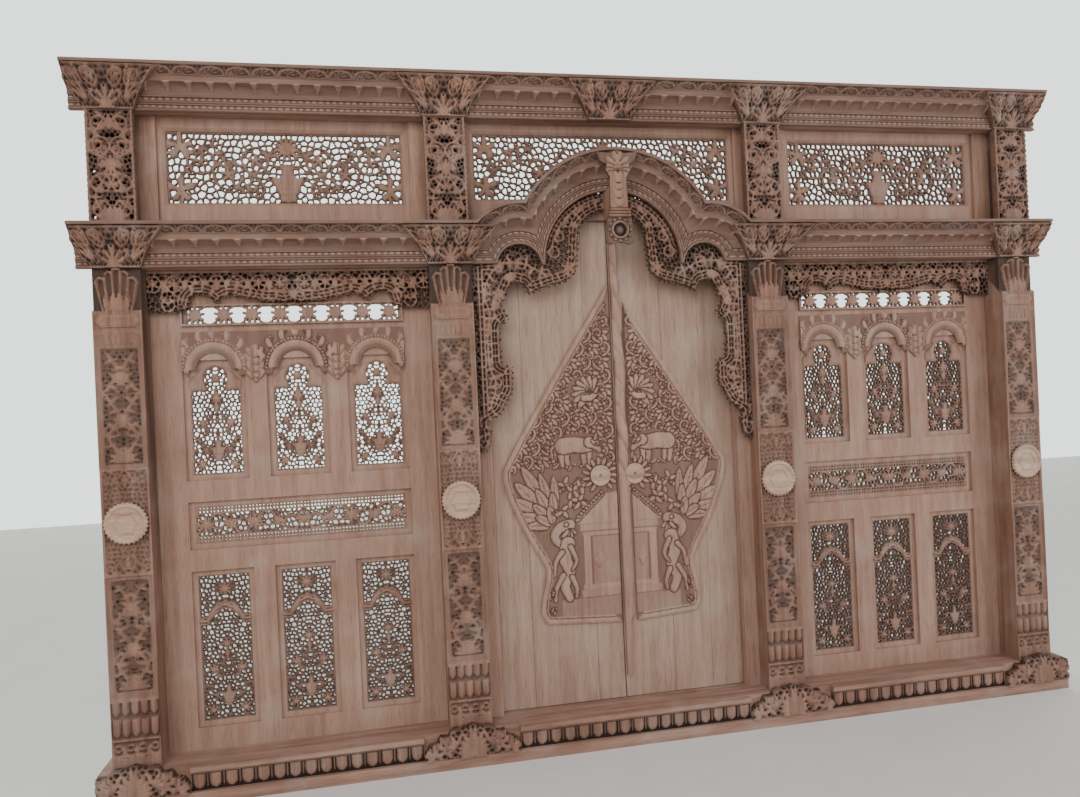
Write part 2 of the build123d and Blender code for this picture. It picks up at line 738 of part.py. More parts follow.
def bay_frame(side):
    """The frame board of a side bay, with a stepped recess round each window."""
    x = side * BAY_CENTRE
    outline = rectangle(x - BAY_HALF, x + BAY_HALF, SILL_HEIGHT, BEAM_BOTTOM)
    frame = board(outline, BAY_FRONT, BAY_THICKNESS, bay_openings(side, 0))
    windows = bay_openings(side, RECESS_MARGIN)
    steps = [board(window, BAY_FRONT - 1, GRILLE_SETBACK + 1) for window in windows]
    return frame.cut(*steps)


def grille_holes(x, bottom, top, pairs):
    holes = []
    height = top - bottom
    for i in range(pairs):
        z = bottom + (i + 0.6) * height / (pairs + 0.2)
        angle = 42 if i % 2 else -38
        holes += leaf_pair(x, 12, z, 84, 44, angle)
    return holes


def bay_grilles(side):
    """Seven pierced panels: three with lobed heads, a long lattice and three with an arch moulding."""
    front = BAY_FRONT + GRILLE_SETBACK
    half = GRILLE_WIDTH / 2
    columns = bay_columns(side)
    panels = []
    for x in columns:
        holes = grille_holes(x, TALL_GRILLE_BOTTOM, TALL_GRILLE_TOP - 40, 2)
        tall_outline = lobed_head(x, half, TALL_GRILLE_BOTTOM, TALL_GRILLE_TOP)
        panels.append(board(tall_outline, front, GRILLE_THICKNESS, holes))
        low_holes = grille_holes(x, LOW_GRILLE_BOTTOM, LOW_GRILLE_TOP - 190, 2)
        low_outline = rectangle(x - half, x + half, LOW_GRILLE_BOTTOM, LOW_GRILLE_TOP)
        panel = board(low_outline, front, GRILLE_THICKNESS, low_holes)
        panels.append(panel.fuse(arch_moulding(x, half, LOW_GRILLE_TOP - 175, front)))
    lattice_outline = rectangle(columns[0] - half, columns[2] + half, LATTICE_BOTTOM, LATTICE_TOP)
    holes = []
    middle = (LATTICE_BOTTOM + LATTICE_TOP) / 2
    for i in range(3):
        dx = 40 + i * (BAY_PITCH + half - 50) / 3
        turn = 32 if i % 2 else -32
        holes += leaf_pair(columns[1], dx, middle - 0.9 * turn, 84, 40, turn)
    panels.append(board(lattice_outline, front, GRILLE_THICKNESS, holes))
    return Compound(children=panels)


def arch_moulding(x, half, z, front):
    """A raised band that bends over the middle of a lower grille."""
    upper, lower = [], []
    for a in (-1, -0.4, 0.4, 1):
        rise = 34 * (1 - a * a)
        upper.append((x + a * half, z + rise + 9))
        lower.append((x + a * half, z + rise - 9))
    return board(upper + lower[::-1], front - 8, 9)


def bay_friezes(side):
    """The arcade board, and the pierced strip of round flowers above it."""
    columns = bay_columns(side)
    half = GRILLE_WIDTH / 2 + FRIEZE_MARGIN
    front = BAY_FRONT - ARCADE_THICKNESS
    x0, x1 = columns[0] - half - 14, columns[2] + half + 14
    edge = [(x0, ARCADE_TOP), (x0, ARCADE_BOTTOM + 60)]
    for x in columns:
        spring = ARCADE_BOTTOM + 60
        for angle in (180, 135, 90, 45, 0):
            turn = math.radians(angle)
            edge.append((x + ARCADE_RADIUS * math.cos(turn), spring + ARCADE_RADIUS * math.sin(turn)))
        if x != columns[-1]:
            middle = x + BAY_PITCH / 2
            edge += [(middle - 46, spring - 14), (middle, ARCADE_BOTTOM), (middle + 46, spring - 14)]
    edge += [(x1, ARCADE_BOTTOM + 60), (x1, ARCADE_TOP)]
    arcade = board(edge, front, ARCADE_THICKNESS)
    pitch = (x1 - x0) / ROSETTE_COUNT
    middle = (ROSETTE_BOTTOM + ROSETTE_TOP) / 2
    reach = (ROSETTE_TOP - ROSETTE_BOTTOM) / 2 - ROSETTE_LAP
    gaps = []
    for i in range(1, ROSETTE_COUNT):
        x = x0 + i * pitch
        gaps.append([(x - reach, middle), (x, middle - reach), (x + reach, middle), (x, middle + reach)])
    strip_outline = rectangle(x0, x1, ROSETTE_BOTTOM, ROSETTE_TOP)
    strip = board(strip_outline, BAY_FRONT - ROSETTE_THICKNESS, ROSETTE_THICKNESS, gaps)
    return Compound(children=[arcade, strip])


def door_frame():
    """Two rebated jambs and a lintel: the leaves close against the stops from behind."""
    back = LEAF_FRONT + LEAF_THICKNESS
    stop_front = LEAF_FRONT - STOP_DEPTH
    stop_back = LEAF_FRONT - STOP_GAP
    pieces = []
    for side in (-1, 1):
        plan = [
            (side * DOOR_HALF, stop_front),
            (side * (JAMB_INNER - STOP_WIDTH), stop_front),
            (side * (JAMB_INNER - STOP_WIDTH), stop_back),
            (side * JAMB_INNER, stop_back),
            (side * JAMB_INNER, back),
            (side * DOOR_HALF, back),
        ]
        face = Face(Wire.make_polygon([(x, y, SILL_HEIGHT) for x, y in plan], close=True))
        pieces.append(Solid.extrude(face, Vector(0, 0, LINTEL_BOTTOM - SILL_HEIGHT)))
    lintel = block(
        -UPPER_DOOR_HALF,
        UPPER_DOOR_HALF,
        TRANSOM_FRONT,
        POST_HALF,
        LINTEL_BOTTOM,
        LINTEL_BOTTOM + LINTEL_HEIGHT,
    )
    depth = PIVOT_IN_FRAME + SOCKET_END_GAP
    sockets = []
    for side in (-1, 1):
        ends = (Align.CENTER, Align.CENTER, Align.MIN)
        socket = Cylinder(PIVOT_RADIUS + PIVOT_CLEARANCE, depth, align=ends)
        sockets.append(Pos(side * PIVOT_X, LEAF_MIDDLE, LINTEL_BOTTOM) * socket)
    return Compound(children=[*pieces, lintel.cut(*sockets)])


def plank(x0, x1, heel):
    """One upright plank of a leaf, with a small groove at each seam and a round heel at the jamb."""
    front, back = LEAF_FRONT, LEAF_FRONT + LEAF_THICKNESS
    groove = PLANK_GROOVE
    z = LEAF_BOTTOM
    if heel == 0:
        plan = [
            (x0, back),
            (x0, front + groove),
            (x0 + groove, front),
            (x1 - groove, front),
            (x1, front + groove),
            (x1, back),
        ]
        face = Face(Wire.make_polygon([(x, y, z) for x, y in plan], close=True))
    else:
        seam, rim = (x0, x1) if heel > 0 else (x1, x0)
        centre = rim - heel * LEAF_THICKNESS / 2
        chamfer = [(seam, front + groove), (seam + heel * groove, front)]
        corner = [(centre, back), (seam, back), *chamfer, (centre, front)]
        half = LEAF_THICKNESS / 2
        for i in range(1, HEEL_FLATS):
            turn = math.pi * i / HEEL_FLATS
            corner.append((centre + heel * half * math.sin(turn), LEAF_MIDDLE - half * math.cos(turn)))
        face = Face(Wire.make_polygon([(x, y, z) for x, y in corner], close=True))
    return Solid.extrude(face, Vector(0, 0, LEAF_TOP - z))


def door_leaf(side):
    """Three planks held by three battens on the back; the heel plank turns on a round tenon at each end."""
    seams = LEFT_SEAMS if side < 0 else RIGHT_SEAMS
    edge = side * MEETING_GAP / 2
    stations = sorted((side * LEAF_OUTER, edge, *seams))
    planks = []
    length = PIVOT_IN_FRAME + LEAF_GAP
    tenons = []
    for end, z in ((Align.MAX, LEAF_BOTTOM), (Align.MIN, LEAF_TOP)):
        tenon = Cylinder(PIVOT_RADIUS, length, align=(Align.CENTER, Align.CENTER, end))
        tenons.append(Pos(side * PIVOT_X, LEAF_MIDDLE, z) * tenon)
    for x0, x1 in zip(stations, stations[1:]):
        heel = side if side * LEAF_OUTER in (x0, x1) else 0
        piece = plank(x0, x1, heel)
        planks.append(piece.fuse(*tenons) if heel else piece)
    back = LEAF_FRONT + LEAF_THICKNESS
    x0, x1 = sorted((edge + side * BATTEN_EDGE, side * (PIVOT_X - BATTEN_HEEL_CLEARANCE)))
    for level in BATTEN_LEVELS:
        z0, z1 = level - BATTEN_HEIGHT / 2, level + BATTEN_HEIGHT / 2
        planks.append(block(x0, x1, back, back + BATTEN_THICKNESS, z0, z1))
    return Compound(children=planks)


def on_mountain(a, b):
    """A point of the mountain: a share of its half width, and of its height above the base."""
    return a * MOUNTAIN_HALF, MOUNTAIN_BASE + b * (MOUNTAIN_TIP - MOUNTAIN_BASE)


def mountain_edge():
    """Half of the mountain outline, from its tip down to the middle of its base."""
    shares = ((0, 1), (0.459, 0.762), (0.925, 0.508), (1, 0.432), (0.861, 0.299), (0.691, 0.191))
    shares += ((0.667, 0.151), (0.725, 0.057), (0.677, 0.013), (0, 0))
    return [on_mountain(a, b) for a, b in shares]


def clip_at(points, x_min):
    """The part of a half outline that lies beyond x_min, closed along that line."""
    kept = []
    for (xa, za), (xb, zb) in zip(points, points[1:]):
        if xa >= x_min:
            kept.append((xa, za))
        if (xa - x_min) * (xb - x_min) < 0:
            share = (x_min - xa) / (xb - xa)
            kept.append((x_min, za + share * (zb - za)))
    if points[-1][0] >= x_min:
        kept.append(points[-1])
    return kept


def shrunk(points, amount, centre):
    cx, cz = centre
    result = []
    for x, z in points:
        reach = math.hypot(x - cx, z - cz)
        share = (reach - amount) / reach
        result.append((cx + share * (x - cx), cz + share * (z - cz)))
    return result


def door_relief(side):
    """One half of the mountain relief: a raised rim, a winged serpent, leaves above and a gate below."""
    start = MEETING_GAP / 2 + RELIEF_EDGE + (TRUNK_WIDTH if side > 0 else 0)
    half = mountain_edge()
    outer = clip_at(half, start)
    middle = clip_at(shrunk(half, RIM_WIDTH, on_mountain(0, 0.39)), start)
    front = LEAF_FRONT - RELIEF_RIM
    shapes = []
    for a, b, length, width, angle in (
        (0.22, 0.727, 0.24, 0.1, 62),
        (0.32, 0.62, 0.26, 0.1, 30),
        (0.26, 0.546, 0.18, 0.09, 60),
        (0.59, 0.486, 0.24, 0.09, 20),
        (0.18, 0.358, 0.3, 0.1, 8),
        (0.28, 0.298, 0.38, 0.1, 20),
        (0.3, 0.231, 0.34, 0.1, 6),
        (0.28, 0.151, 0.22, 0.08, 40),
        (0.5, 0.057, 0.15, 0.1, 70),
    ):
        x, z = on_mountain(a, b)
        shapes.append(leaf_shape(x, z, length * MOUNTAIN_HALF, width * MOUNTAIN_HALF, angle))
    gate_half, gate_low = on_mountain(0.23, 0.03)
    shapes.append(rectangle(start, gate_half, gate_low, on_mountain(0, 0.11)[1]))
    if side < 0:
        outer = mirror_points(outer)
        middle = mirror_points(middle)
        shapes = [mirror_points(shape) for shape in shapes]
    plate = board(outer, front, RELIEF_RIM)
    sunk = board(middle, front - 1, RELIEF_RIM - RELIEF_FIELD + 1)
    raised = [board(shape, front + 2, RELIEF_RIM - RELIEF_FIELD) for shape in shapes]
    return plate.cut(sunk).fuse(*raised)


def door_trunk():
    """The tree trunk that covers the meeting of the leaves, fixed to the right leaf."""
    x0 = MEETING_GAP / 2 + RELIEF_EDGE
    width = TRUNK_WIDTH
    shares = ((0.958, 0.48), (0.934, 1), (0.553, 1), (0.472, 0.83), (0.412, 1), (0.378, 0.79), (0.023, 0.79))
    shares += ((0.01, 0.38), (-0.157, 0.28))
    steps = [(LEAF_TOP, 0.45 * width)] + [(on_mountain(0, b)[1], a * width) for b, a in shares]
    outline = [(x0, steps[-1][0]), (x0, steps[0][0])] + [(x0 + reach, z) for z, reach in steps]
    trunk = board(outline, LEAF_FRONT - TRUNK_THICKNESS, TRUNK_THICKNESS)
    front = LEAF_FRONT - 2 * TRUNK_THICKNESS
    return trunk.cut(round_plate(DISC_X, DISC_Z, DISC_RADIUS, front, 3 * TRUNK_THICKNESS))


def door_disc(side):
    """A turned disc with a ring on its face and a small hole for the pull."""
    front = LEAF_FRONT - RELIEF_FIELD - DISC_THICKNESS
    x = side * DISC_X
    disc = round_plate(x, DISC_Z, DISC_RADIUS, front, DISC_THICKNESS)
    knob = round_plate(x, DISC_Z, DISC_RADIUS - 20, front - 1, 2)
    hole = round_plate(x, DISC_Z, DISC_HOLE, front - 2, DISC_THICKNESS + 3)
    return disc.fuse(knob).cut(hole)


def build_all():
    os.makedirs("parts", exist_ok=True)
    write("sill_beam", sill_beam())
    spans = [foot_span(x) for x in POST_POSITIONS]
    for name, left, right in (("left", 0, 1), ("centre", 1, 2), ("right", 2, 3)):
        write("sill_band_" + name, sill_band(spans[left][1], spans[right][0]))
    for number, x in enumerate(POST_POSITIONS, 1):
        write(f"foot_{number}", foot(x))
        write(f"post_{number}", post(x))
        write(f"medallion_{number}", medallion(x))
        write(f"lower_corbel_{number}", corbel(x, BEAM_BOTTOM))
        write(f"upper_post_{number}", upper_post(x))
    for number, x in enumerate((*POST_POSITIONS[:2], 0, *POST_POSITIONS[2:]), 1):
        write(f"upper_corbel_{number}", corbel(x, TOP_BEAM_BOTTOM))
    length = OUTER_POST_X + POST_HALF
    write("top_beam", block(-length, length, BEAM_FRONT, POST_HALF, TOP_BEAM_BOTTOM, SCREEN_TOP))
    top_seats = (*POST_POSITIONS, 0)
    write("top_cornice", cornice_run(-CORNICE_HALF_LENGTH, CORNICE_HALF_LENGTH, TOP_BEAM_BOTTOM, top_seats))
    write("arch_cornice", arch_cornice().cut(*[corbel(x, BEAM_BOTTOM) for x in POST_POSITIONS[1:3]]))
    write("arch_keystone", arch_keystone())
    write("door_frame", door_frame())
    write("door_trunk", door_trunk())
    write("transom_centre", transom(0, UPPER_DOOR_HALF))
    for name, side in (("left", -1), ("right", 1)):
        write("lower_beam_" + name, lower_beam(side))
        x0, x1 = sorted((side * ARCH_END_X, side * CORNICE_HALF_LENGTH))
        seats = [x for x in POST_POSITIONS if x * side > 0]
        write("lower_cornice_" + name, cornice_run(x0, x1, BEAM_BOTTOM, seats))
        write("transom_" + name, transom(side * BAY_CENTRE, UPPER_BAY_HALF))
        write("side_valance_" + name, side_valance(side))
        write("door_valance_" + name, door_valance(side))
        write("bay_frame_" + name, bay_frame(side))
        write("bay_grilles_" + name, bay_grilles(side))
        write("bay_friezes_" + name, bay_friezes(side))
        write("door_leaf_" + name, door_leaf(side))
        write("door_relief_" + name, door_relief(side))
        write("door_disc_" + name, door_disc(side))


build_all()
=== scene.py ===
import bpy
import math
import numpy as np
from mathutils import Matrix, Vector


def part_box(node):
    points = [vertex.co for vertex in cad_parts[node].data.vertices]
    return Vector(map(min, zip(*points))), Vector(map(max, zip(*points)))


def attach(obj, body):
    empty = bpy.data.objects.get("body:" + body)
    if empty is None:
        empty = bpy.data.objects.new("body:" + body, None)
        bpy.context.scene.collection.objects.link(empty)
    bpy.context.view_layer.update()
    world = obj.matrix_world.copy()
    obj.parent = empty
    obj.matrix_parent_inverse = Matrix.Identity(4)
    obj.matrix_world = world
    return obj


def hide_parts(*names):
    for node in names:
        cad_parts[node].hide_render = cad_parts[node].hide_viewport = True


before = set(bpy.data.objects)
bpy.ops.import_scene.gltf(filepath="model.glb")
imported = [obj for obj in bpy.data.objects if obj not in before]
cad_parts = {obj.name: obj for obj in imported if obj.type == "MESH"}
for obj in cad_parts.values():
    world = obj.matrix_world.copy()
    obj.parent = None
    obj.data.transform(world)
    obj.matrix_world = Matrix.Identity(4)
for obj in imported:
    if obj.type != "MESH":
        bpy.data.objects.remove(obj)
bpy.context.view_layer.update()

# The camera stands a little left of the door at eye level, and looks slightly to the right.
camera_data = bpy.data.cameras.new("camera")
camera_data.sensor_width = 36
camera_data.lens = 27.03
camera_data.clip_start = 0.05
camera = bpy.data.objects.new("camera", camera_data)
bpy.context.scene.collection.objects.link(camera)
bpy.context.scene.camera = camera
right = Vector((0.97986, -0.19434, -0.04588))
up = Vector((0.04497, -0.00912, 0.99895))
back = right.cross(up)
turned = Matrix((right, up, back)).transposed().to_4x4()
camera.matrix_world = Matrix.Translation((-1.010, -3.4015, 1.469)) @ turned


# Plain studio: a pale floor under the sill, a wide soft light from the front left, a cooler one from the
# right, an even pale sky, and a bright screen far behind, so that daylight comes through the piercings.
def soft_light(name, place, aim, size, power, colour):
    data = bpy.data.lights.new(name, "AREA")
    data.shape = "RECTANGLE"
    data.size, data.size_y = size
    data.energy = power
    data.color = colour
    lamp = bpy.data.objects.new(name, data)
    bpy.context.scene.collection.objects.link(lamp)
    lamp.location = place
    lamp.rotation_euler = (Vector(aim) - Vector(place)).to_track_quat("-Z", "Y").to_euler()


soft_light("key_light", (-2.6, -4.6, 3.9), (0, 0, 1.3), (4.5, 3.0), 200, (1.0, 0.96, 0.92))
soft_light("right_light", (4.6, -3.4, 2.2), (0.6, 0, 1.3), (2.5, 3.0), 120, (0.93, 0.96, 1.0))
world = bpy.data.worlds.new("sky")
bpy.context.scene.world = world
world.use_nodes = True
world.node_tree.nodes["Background"].inputs["Color"].default_value = (0.93, 0.95, 0.97, 1)
world.node_tree.nodes["Background"].inputs["Strength"].default_value = 0.75

bpy.ops.object.select_all(action="DESELECT")
bpy.ops.mesh.primitive_plane_add(size=60, location=(0, 0, 0))
floor = bpy.context.object
floor.name = "floor"
bpy.ops.object.select_all(action="DESELECT")
bpy.ops.mesh.primitive_plane_add(size=1)
daylight = bpy.context.object
daylight.name = "daylight"
upright = Matrix.Rotation(math.pi / 2, 4, "X") @ Matrix.Diagonal((45, 17.4, 1, 1))
daylight.data.transform(Matrix.Translation((0, 9.0, 8.7)) @ upright)


# Teak: open-grained brown wood, left raw, greyed and a little bleached. The hollows of the carvings are
# darkened with painted shade. The carved pieces are darkest, the planks of the leaves palest. Nothing on the
# door is painted or oiled.
class Value:
    """A number that runs over a surface. Sums on it become Math nodes."""

    def __init__(self, finish, socket):
        self.finish = finish
        self.socket = socket

    def sum(self, operation, a, b):
        return self.finish.add("ShaderNodeMath", {"operation": operation}, {0: a, 1: b})

    def __add__(self, other):
        return self.sum("ADD", self, other)

    def __radd__(self, other):
        return self.sum("ADD", other, self)

    def __sub__(self, other):
        return self.sum("SUBTRACT", self, other)

    def __rsub__(self, other):
        return self.sum("SUBTRACT", other, self)

    def __mul__(self, other):
        return self.sum("MULTIPLY", self, other)

    def __rmul__(self, other):
        return self.sum("MULTIPLY", other, self)

    def __pow__(self, other):
        return self.sum("POWER", self, other)


class Finish:
    """A material, with one way to add a node to it."""

    def __init__(self, name):
        self.material = bpy.data.materials.new(name)
        self.material.use_nodes = True
        self.tree = self.material.node_tree
        self.shader = self.tree.nodes["Principled BSDF"]

    def feed(self, socket, value):
        if isinstance(value, Value):
            self.tree.links.new(value.socket, socket)
        else:
            socket.default_value = value

    def add(self, kind, settings=None, inputs=None, output=0):
        node = self.tree.nodes.new(kind)
        for key, value in (settings or {}).items():
            if key == "stops":
                ramp = node.color_ramp.elements
                while len(ramp) < len(value):
                    ramp.new(0.5)
                for stop, (position, colour) in zip(ramp, value):
                    stop.position = position
                    stop.color = colour
            else:
                setattr(node, key, value)
        for key, value in (inputs or {}).items():
            self.feed(node.inputs[key], value)
        return Value(self, node.outputs[output])

    def mix(self, share, a, b, way="MIX"):
        return self.add("ShaderNodeMix", {"data_type": "RGBA", "blend_type": way}, {0: share, 6: a, 7: b}, 2)

    def noise(self, place, scale, detail=4.0, roughness=0.55):
        inputs = {"Vector": place, "Scale": scale, "Detail": detail, "Roughness": roughness}
        return self.add("ShaderNodeTexNoise", {}, inputs)


def shade(r, g, b):
    """A colour as the eye names it, in parts of 255, made linear."""
    return tuple(
        ((c / 255) / 12.92 if c < 10 else ((c / 255 + 0.055) / 1.055) ** 2.4) for c in (r, g, b)
    ) + (1,)


def teak(name, grain, light=(176, 140, 118), dark=(122, 84, 68), hollow=None, rough=0.72):
    """Raw teak with its grain along one axis; a hollow colour, painted shade, follows the depth of the
    carving.
    """
    wood = Finish(name)
    place = wood.add("ShaderNodeTexCoord", {}, {}, 3)
    stretch = {"X": (2.0, 34.0, 34.0), "Z": (34.0, 34.0, 2.0)}[grain]
    along = wood.add("ShaderNodeMapping", {}, {"Vector": place, "Scale": stretch})
    fine = {"X": (14.0, 420.0, 420.0), "Z": (420.0, 420.0, 14.0)}[grain]
    pores = wood.noise(wood.add("ShaderNodeMapping", {}, {"Vector": place, "Scale": fine}), 1.0, 2.0)
    bands = wood.noise(along, 1.0, 5.0, 0.6)
    blotch = wood.noise(place, 2.3, 3.0)
    figure = wood.add("ShaderNodeMapRange", {}, {0: bands * 0.75 + blotch * 0.35, 1: 0.38, 2: 0.72})
    colour = wood.mix(figure, shade(*dark), shade(*light))
    streak = wood.add("ShaderNodeMapRange", {}, {0: pores, 1: 0.52, 2: 0.68, 3: 0.0, 4: 0.42})
    colour = wood.mix(streak, colour, shade(84, 56, 46))
    grey = wood.add(
        "ShaderNodeMapRange", {}, {0: wood.noise(place, 5.0, 4.0), 1: 0.5, 2: 0.75, 3: 0.0, 4: 0.4}
    )
    colour = wood.mix(grey, colour, shade(168, 152, 142))
    # Painted shade: the low parts of a carving, read from the raised attribute, are mixed towards the hollow
    # colour.
    if hollow:
        raised = wood.add("ShaderNodeAttribute", {"attribute_name": "raised"}, {}, 2)
        lit = wood.add("ShaderNodeMapRange", {}, {0: raised, 1: 0.05, 2: 0.6})
        colour = wood.mix(lit, shade(*hollow), colour)
    wood.feed(wood.shader.inputs["Base Color"], colour)
    wood.feed(wood.shader.inputs["Roughness"], rough + 0.16 * (blotch - 0.5))
    wood.shader.inputs["Specular IOR Level"].default_value = 0.35
    grain_bump = wood.add(
        "ShaderNodeBump", {}, {"Strength": 0.35, "Distance": 0.0012, "Height": bands + 0.6 * pores}
    )
    wood.feed(wood.shader.inputs["Normal"], grain_bump)
    return wood.material


post_teak = teak("post_teak", "Z", light=(168, 134, 114), dark=(120, 86, 70))
beam_teak = teak("beam_teak", "X", light=(166, 132, 114), dark=(122, 88, 74))
panel_teak = teak("panel_teak", "Z", light=(166, 134, 116), dark=(138, 104, 88))
plank_teak = teak("plank_teak", "Z", light=(172, 146, 128), dark=(146, 116, 100), rough=0.66)
# The hollow colours of carved_teak, relief_teak and pierced_teak are painted shade for the depths of the
# carving.
carved_teak = teak("carved_teak", "Z", light=(152, 118, 100), dark=(110, 78, 64), hollow=(34, 20, 16))
# shaded_teak is painted shade: the cores behind the openwork boards are coloured dark for the shade they
# stand in.
shaded_teak = teak("shaded_teak", "Z", light=(84, 62, 52), dark=(58, 42, 35))
relief_teak = teak("relief_teak", "Z", light=(172, 142, 124), dark=(144, 110, 94), hollow=(88, 58, 47))
pierced_teak = teak("pierced_teak", "Z", light=(160, 128, 110), dark=(126, 94, 80), hollow=(60, 40, 33))

plaster = Finish("pale_floor")
mottle = plaster.noise(plaster.add("ShaderNodeTexCoord", {}, {}, 3), 3.0)
plaster.feed(
    plaster.shader.inputs["Base Color"], plaster.mix(mottle, (0.62, 0.60, 0.57, 1), (0.72, 0.70, 0.67, 1))
)
plaster.shader.inputs["Roughness"].default_value = 0.9
floor.data.materials.append(plaster.material)
bright = Finish("daylight")
haze = bright.noise(bright.add("ShaderNodeTexCoord", {}, {}, 3), 0.9)
bright.feed(
    bright.shader.inputs["Emission Color"], bright.mix(haze, (0.80, 1.0, 0.90, 1), (1.0, 1.0, 1.0, 1))
)
bright.shader.inputs["Emission Strength"].default_value = 1.9
bright.shader.inputs["Base Color"].default_value = (0.1, 0.1, 0.1, 1)
daylight.data.materials.append(bright.material)


# The carver's layout: lines, leaves, scrolls and nets are drawn on a board before it is sawn through and cut
# with gouges. Each board is a grid that says where wood is left and how far it stands out.
def through(points, steps=6):
    """A smooth line through a few points."""
    p = [np.array(q, float) for q in points]
    p = [2 * p[0] - p[1], *p, 2 * p[-1] - p[-2]]
    line = []
    for a, b, c, d in zip(p, p[1:], p[2:], p[3:]):
        for k in range(steps):
            t = k / steps
            square, cube = 2 * a - 5 * b + 4 * c - d, 3 * b - a - 3 * c + d
            line.append(0.5 * (2 * b + (c - a) * t + square * t**2 + cube * t**3))
    line.append(p[-2])
    return np.array(line)


def around(x, z, radius, angle):
    """The point at this angle and distance from another."""
    turn = math.radians(angle)
    return x + radius * math.cos(turn), z + radius * math.sin(turn)


def curl(x, z, angle, length, turn, tighten=0.0, steps=8):
    """A line that leaves a point at an angle and turns as it goes, tighter towards its end."""
    line = [(x, z)]
    for k in range(steps):
        share = (k + 0.5) / steps
        heading = math.radians(angle + turn * share ** (1 + 0.4 * tighten))
        step = length / steps * (1 - 0.8 * tighten * share) / (1 - 0.4 * tighten)
        x, z = x + step * math.cos(heading), z + step * math.sin(heading)
        line.append((x, z))
    return np.array(line)


def to_stretch(x, z, start, end):
    """For each point of a grid: the share of the way along a straight stretch, and how far off it lies."""
    (xa, za), (xb, zb) = start, end
    length = max(math.hypot(xb - xa, zb - za), 1e-9)
    t = np.clip(((x - xa) * (xb - xa) + (z - za) * (zb - za)) / length**2, 0, 1)
    return t, np.hypot(x - xa - t * (xb - xa), z - za - t * (zb - za))


def edge_field(x, z, outline):
    """For each point of a grid: how far it lies inside an outline, and how far along the outline it is."""
    near = np.full(x.shape, 9.0)
    along = np.zeros(x.shape)
    inside = np.zeros(x.shape, bool)
    travelled = 0.0
    ring = list(outline)
    for (xa, za), (xb, zb) in zip(ring, ring[1:] + ring[:1]):
        length = math.hypot(xb - xa, zb - za)
        if length < 1e-9:
            continue
        t, gap = to_stretch(x, z, (xa, za), (xb, zb))
        closer = gap < near
        near = np.where(closer, gap, near)
        along = np.where(closer, travelled + t * length, along)
        if za != zb:
            crosses = (za > z) != (zb > z)
            inside ^= crosses & (x < xa + (z - za) * (xb - xa) / (zb - za))
        travelled += length
    return np.where(inside, near, -near), along


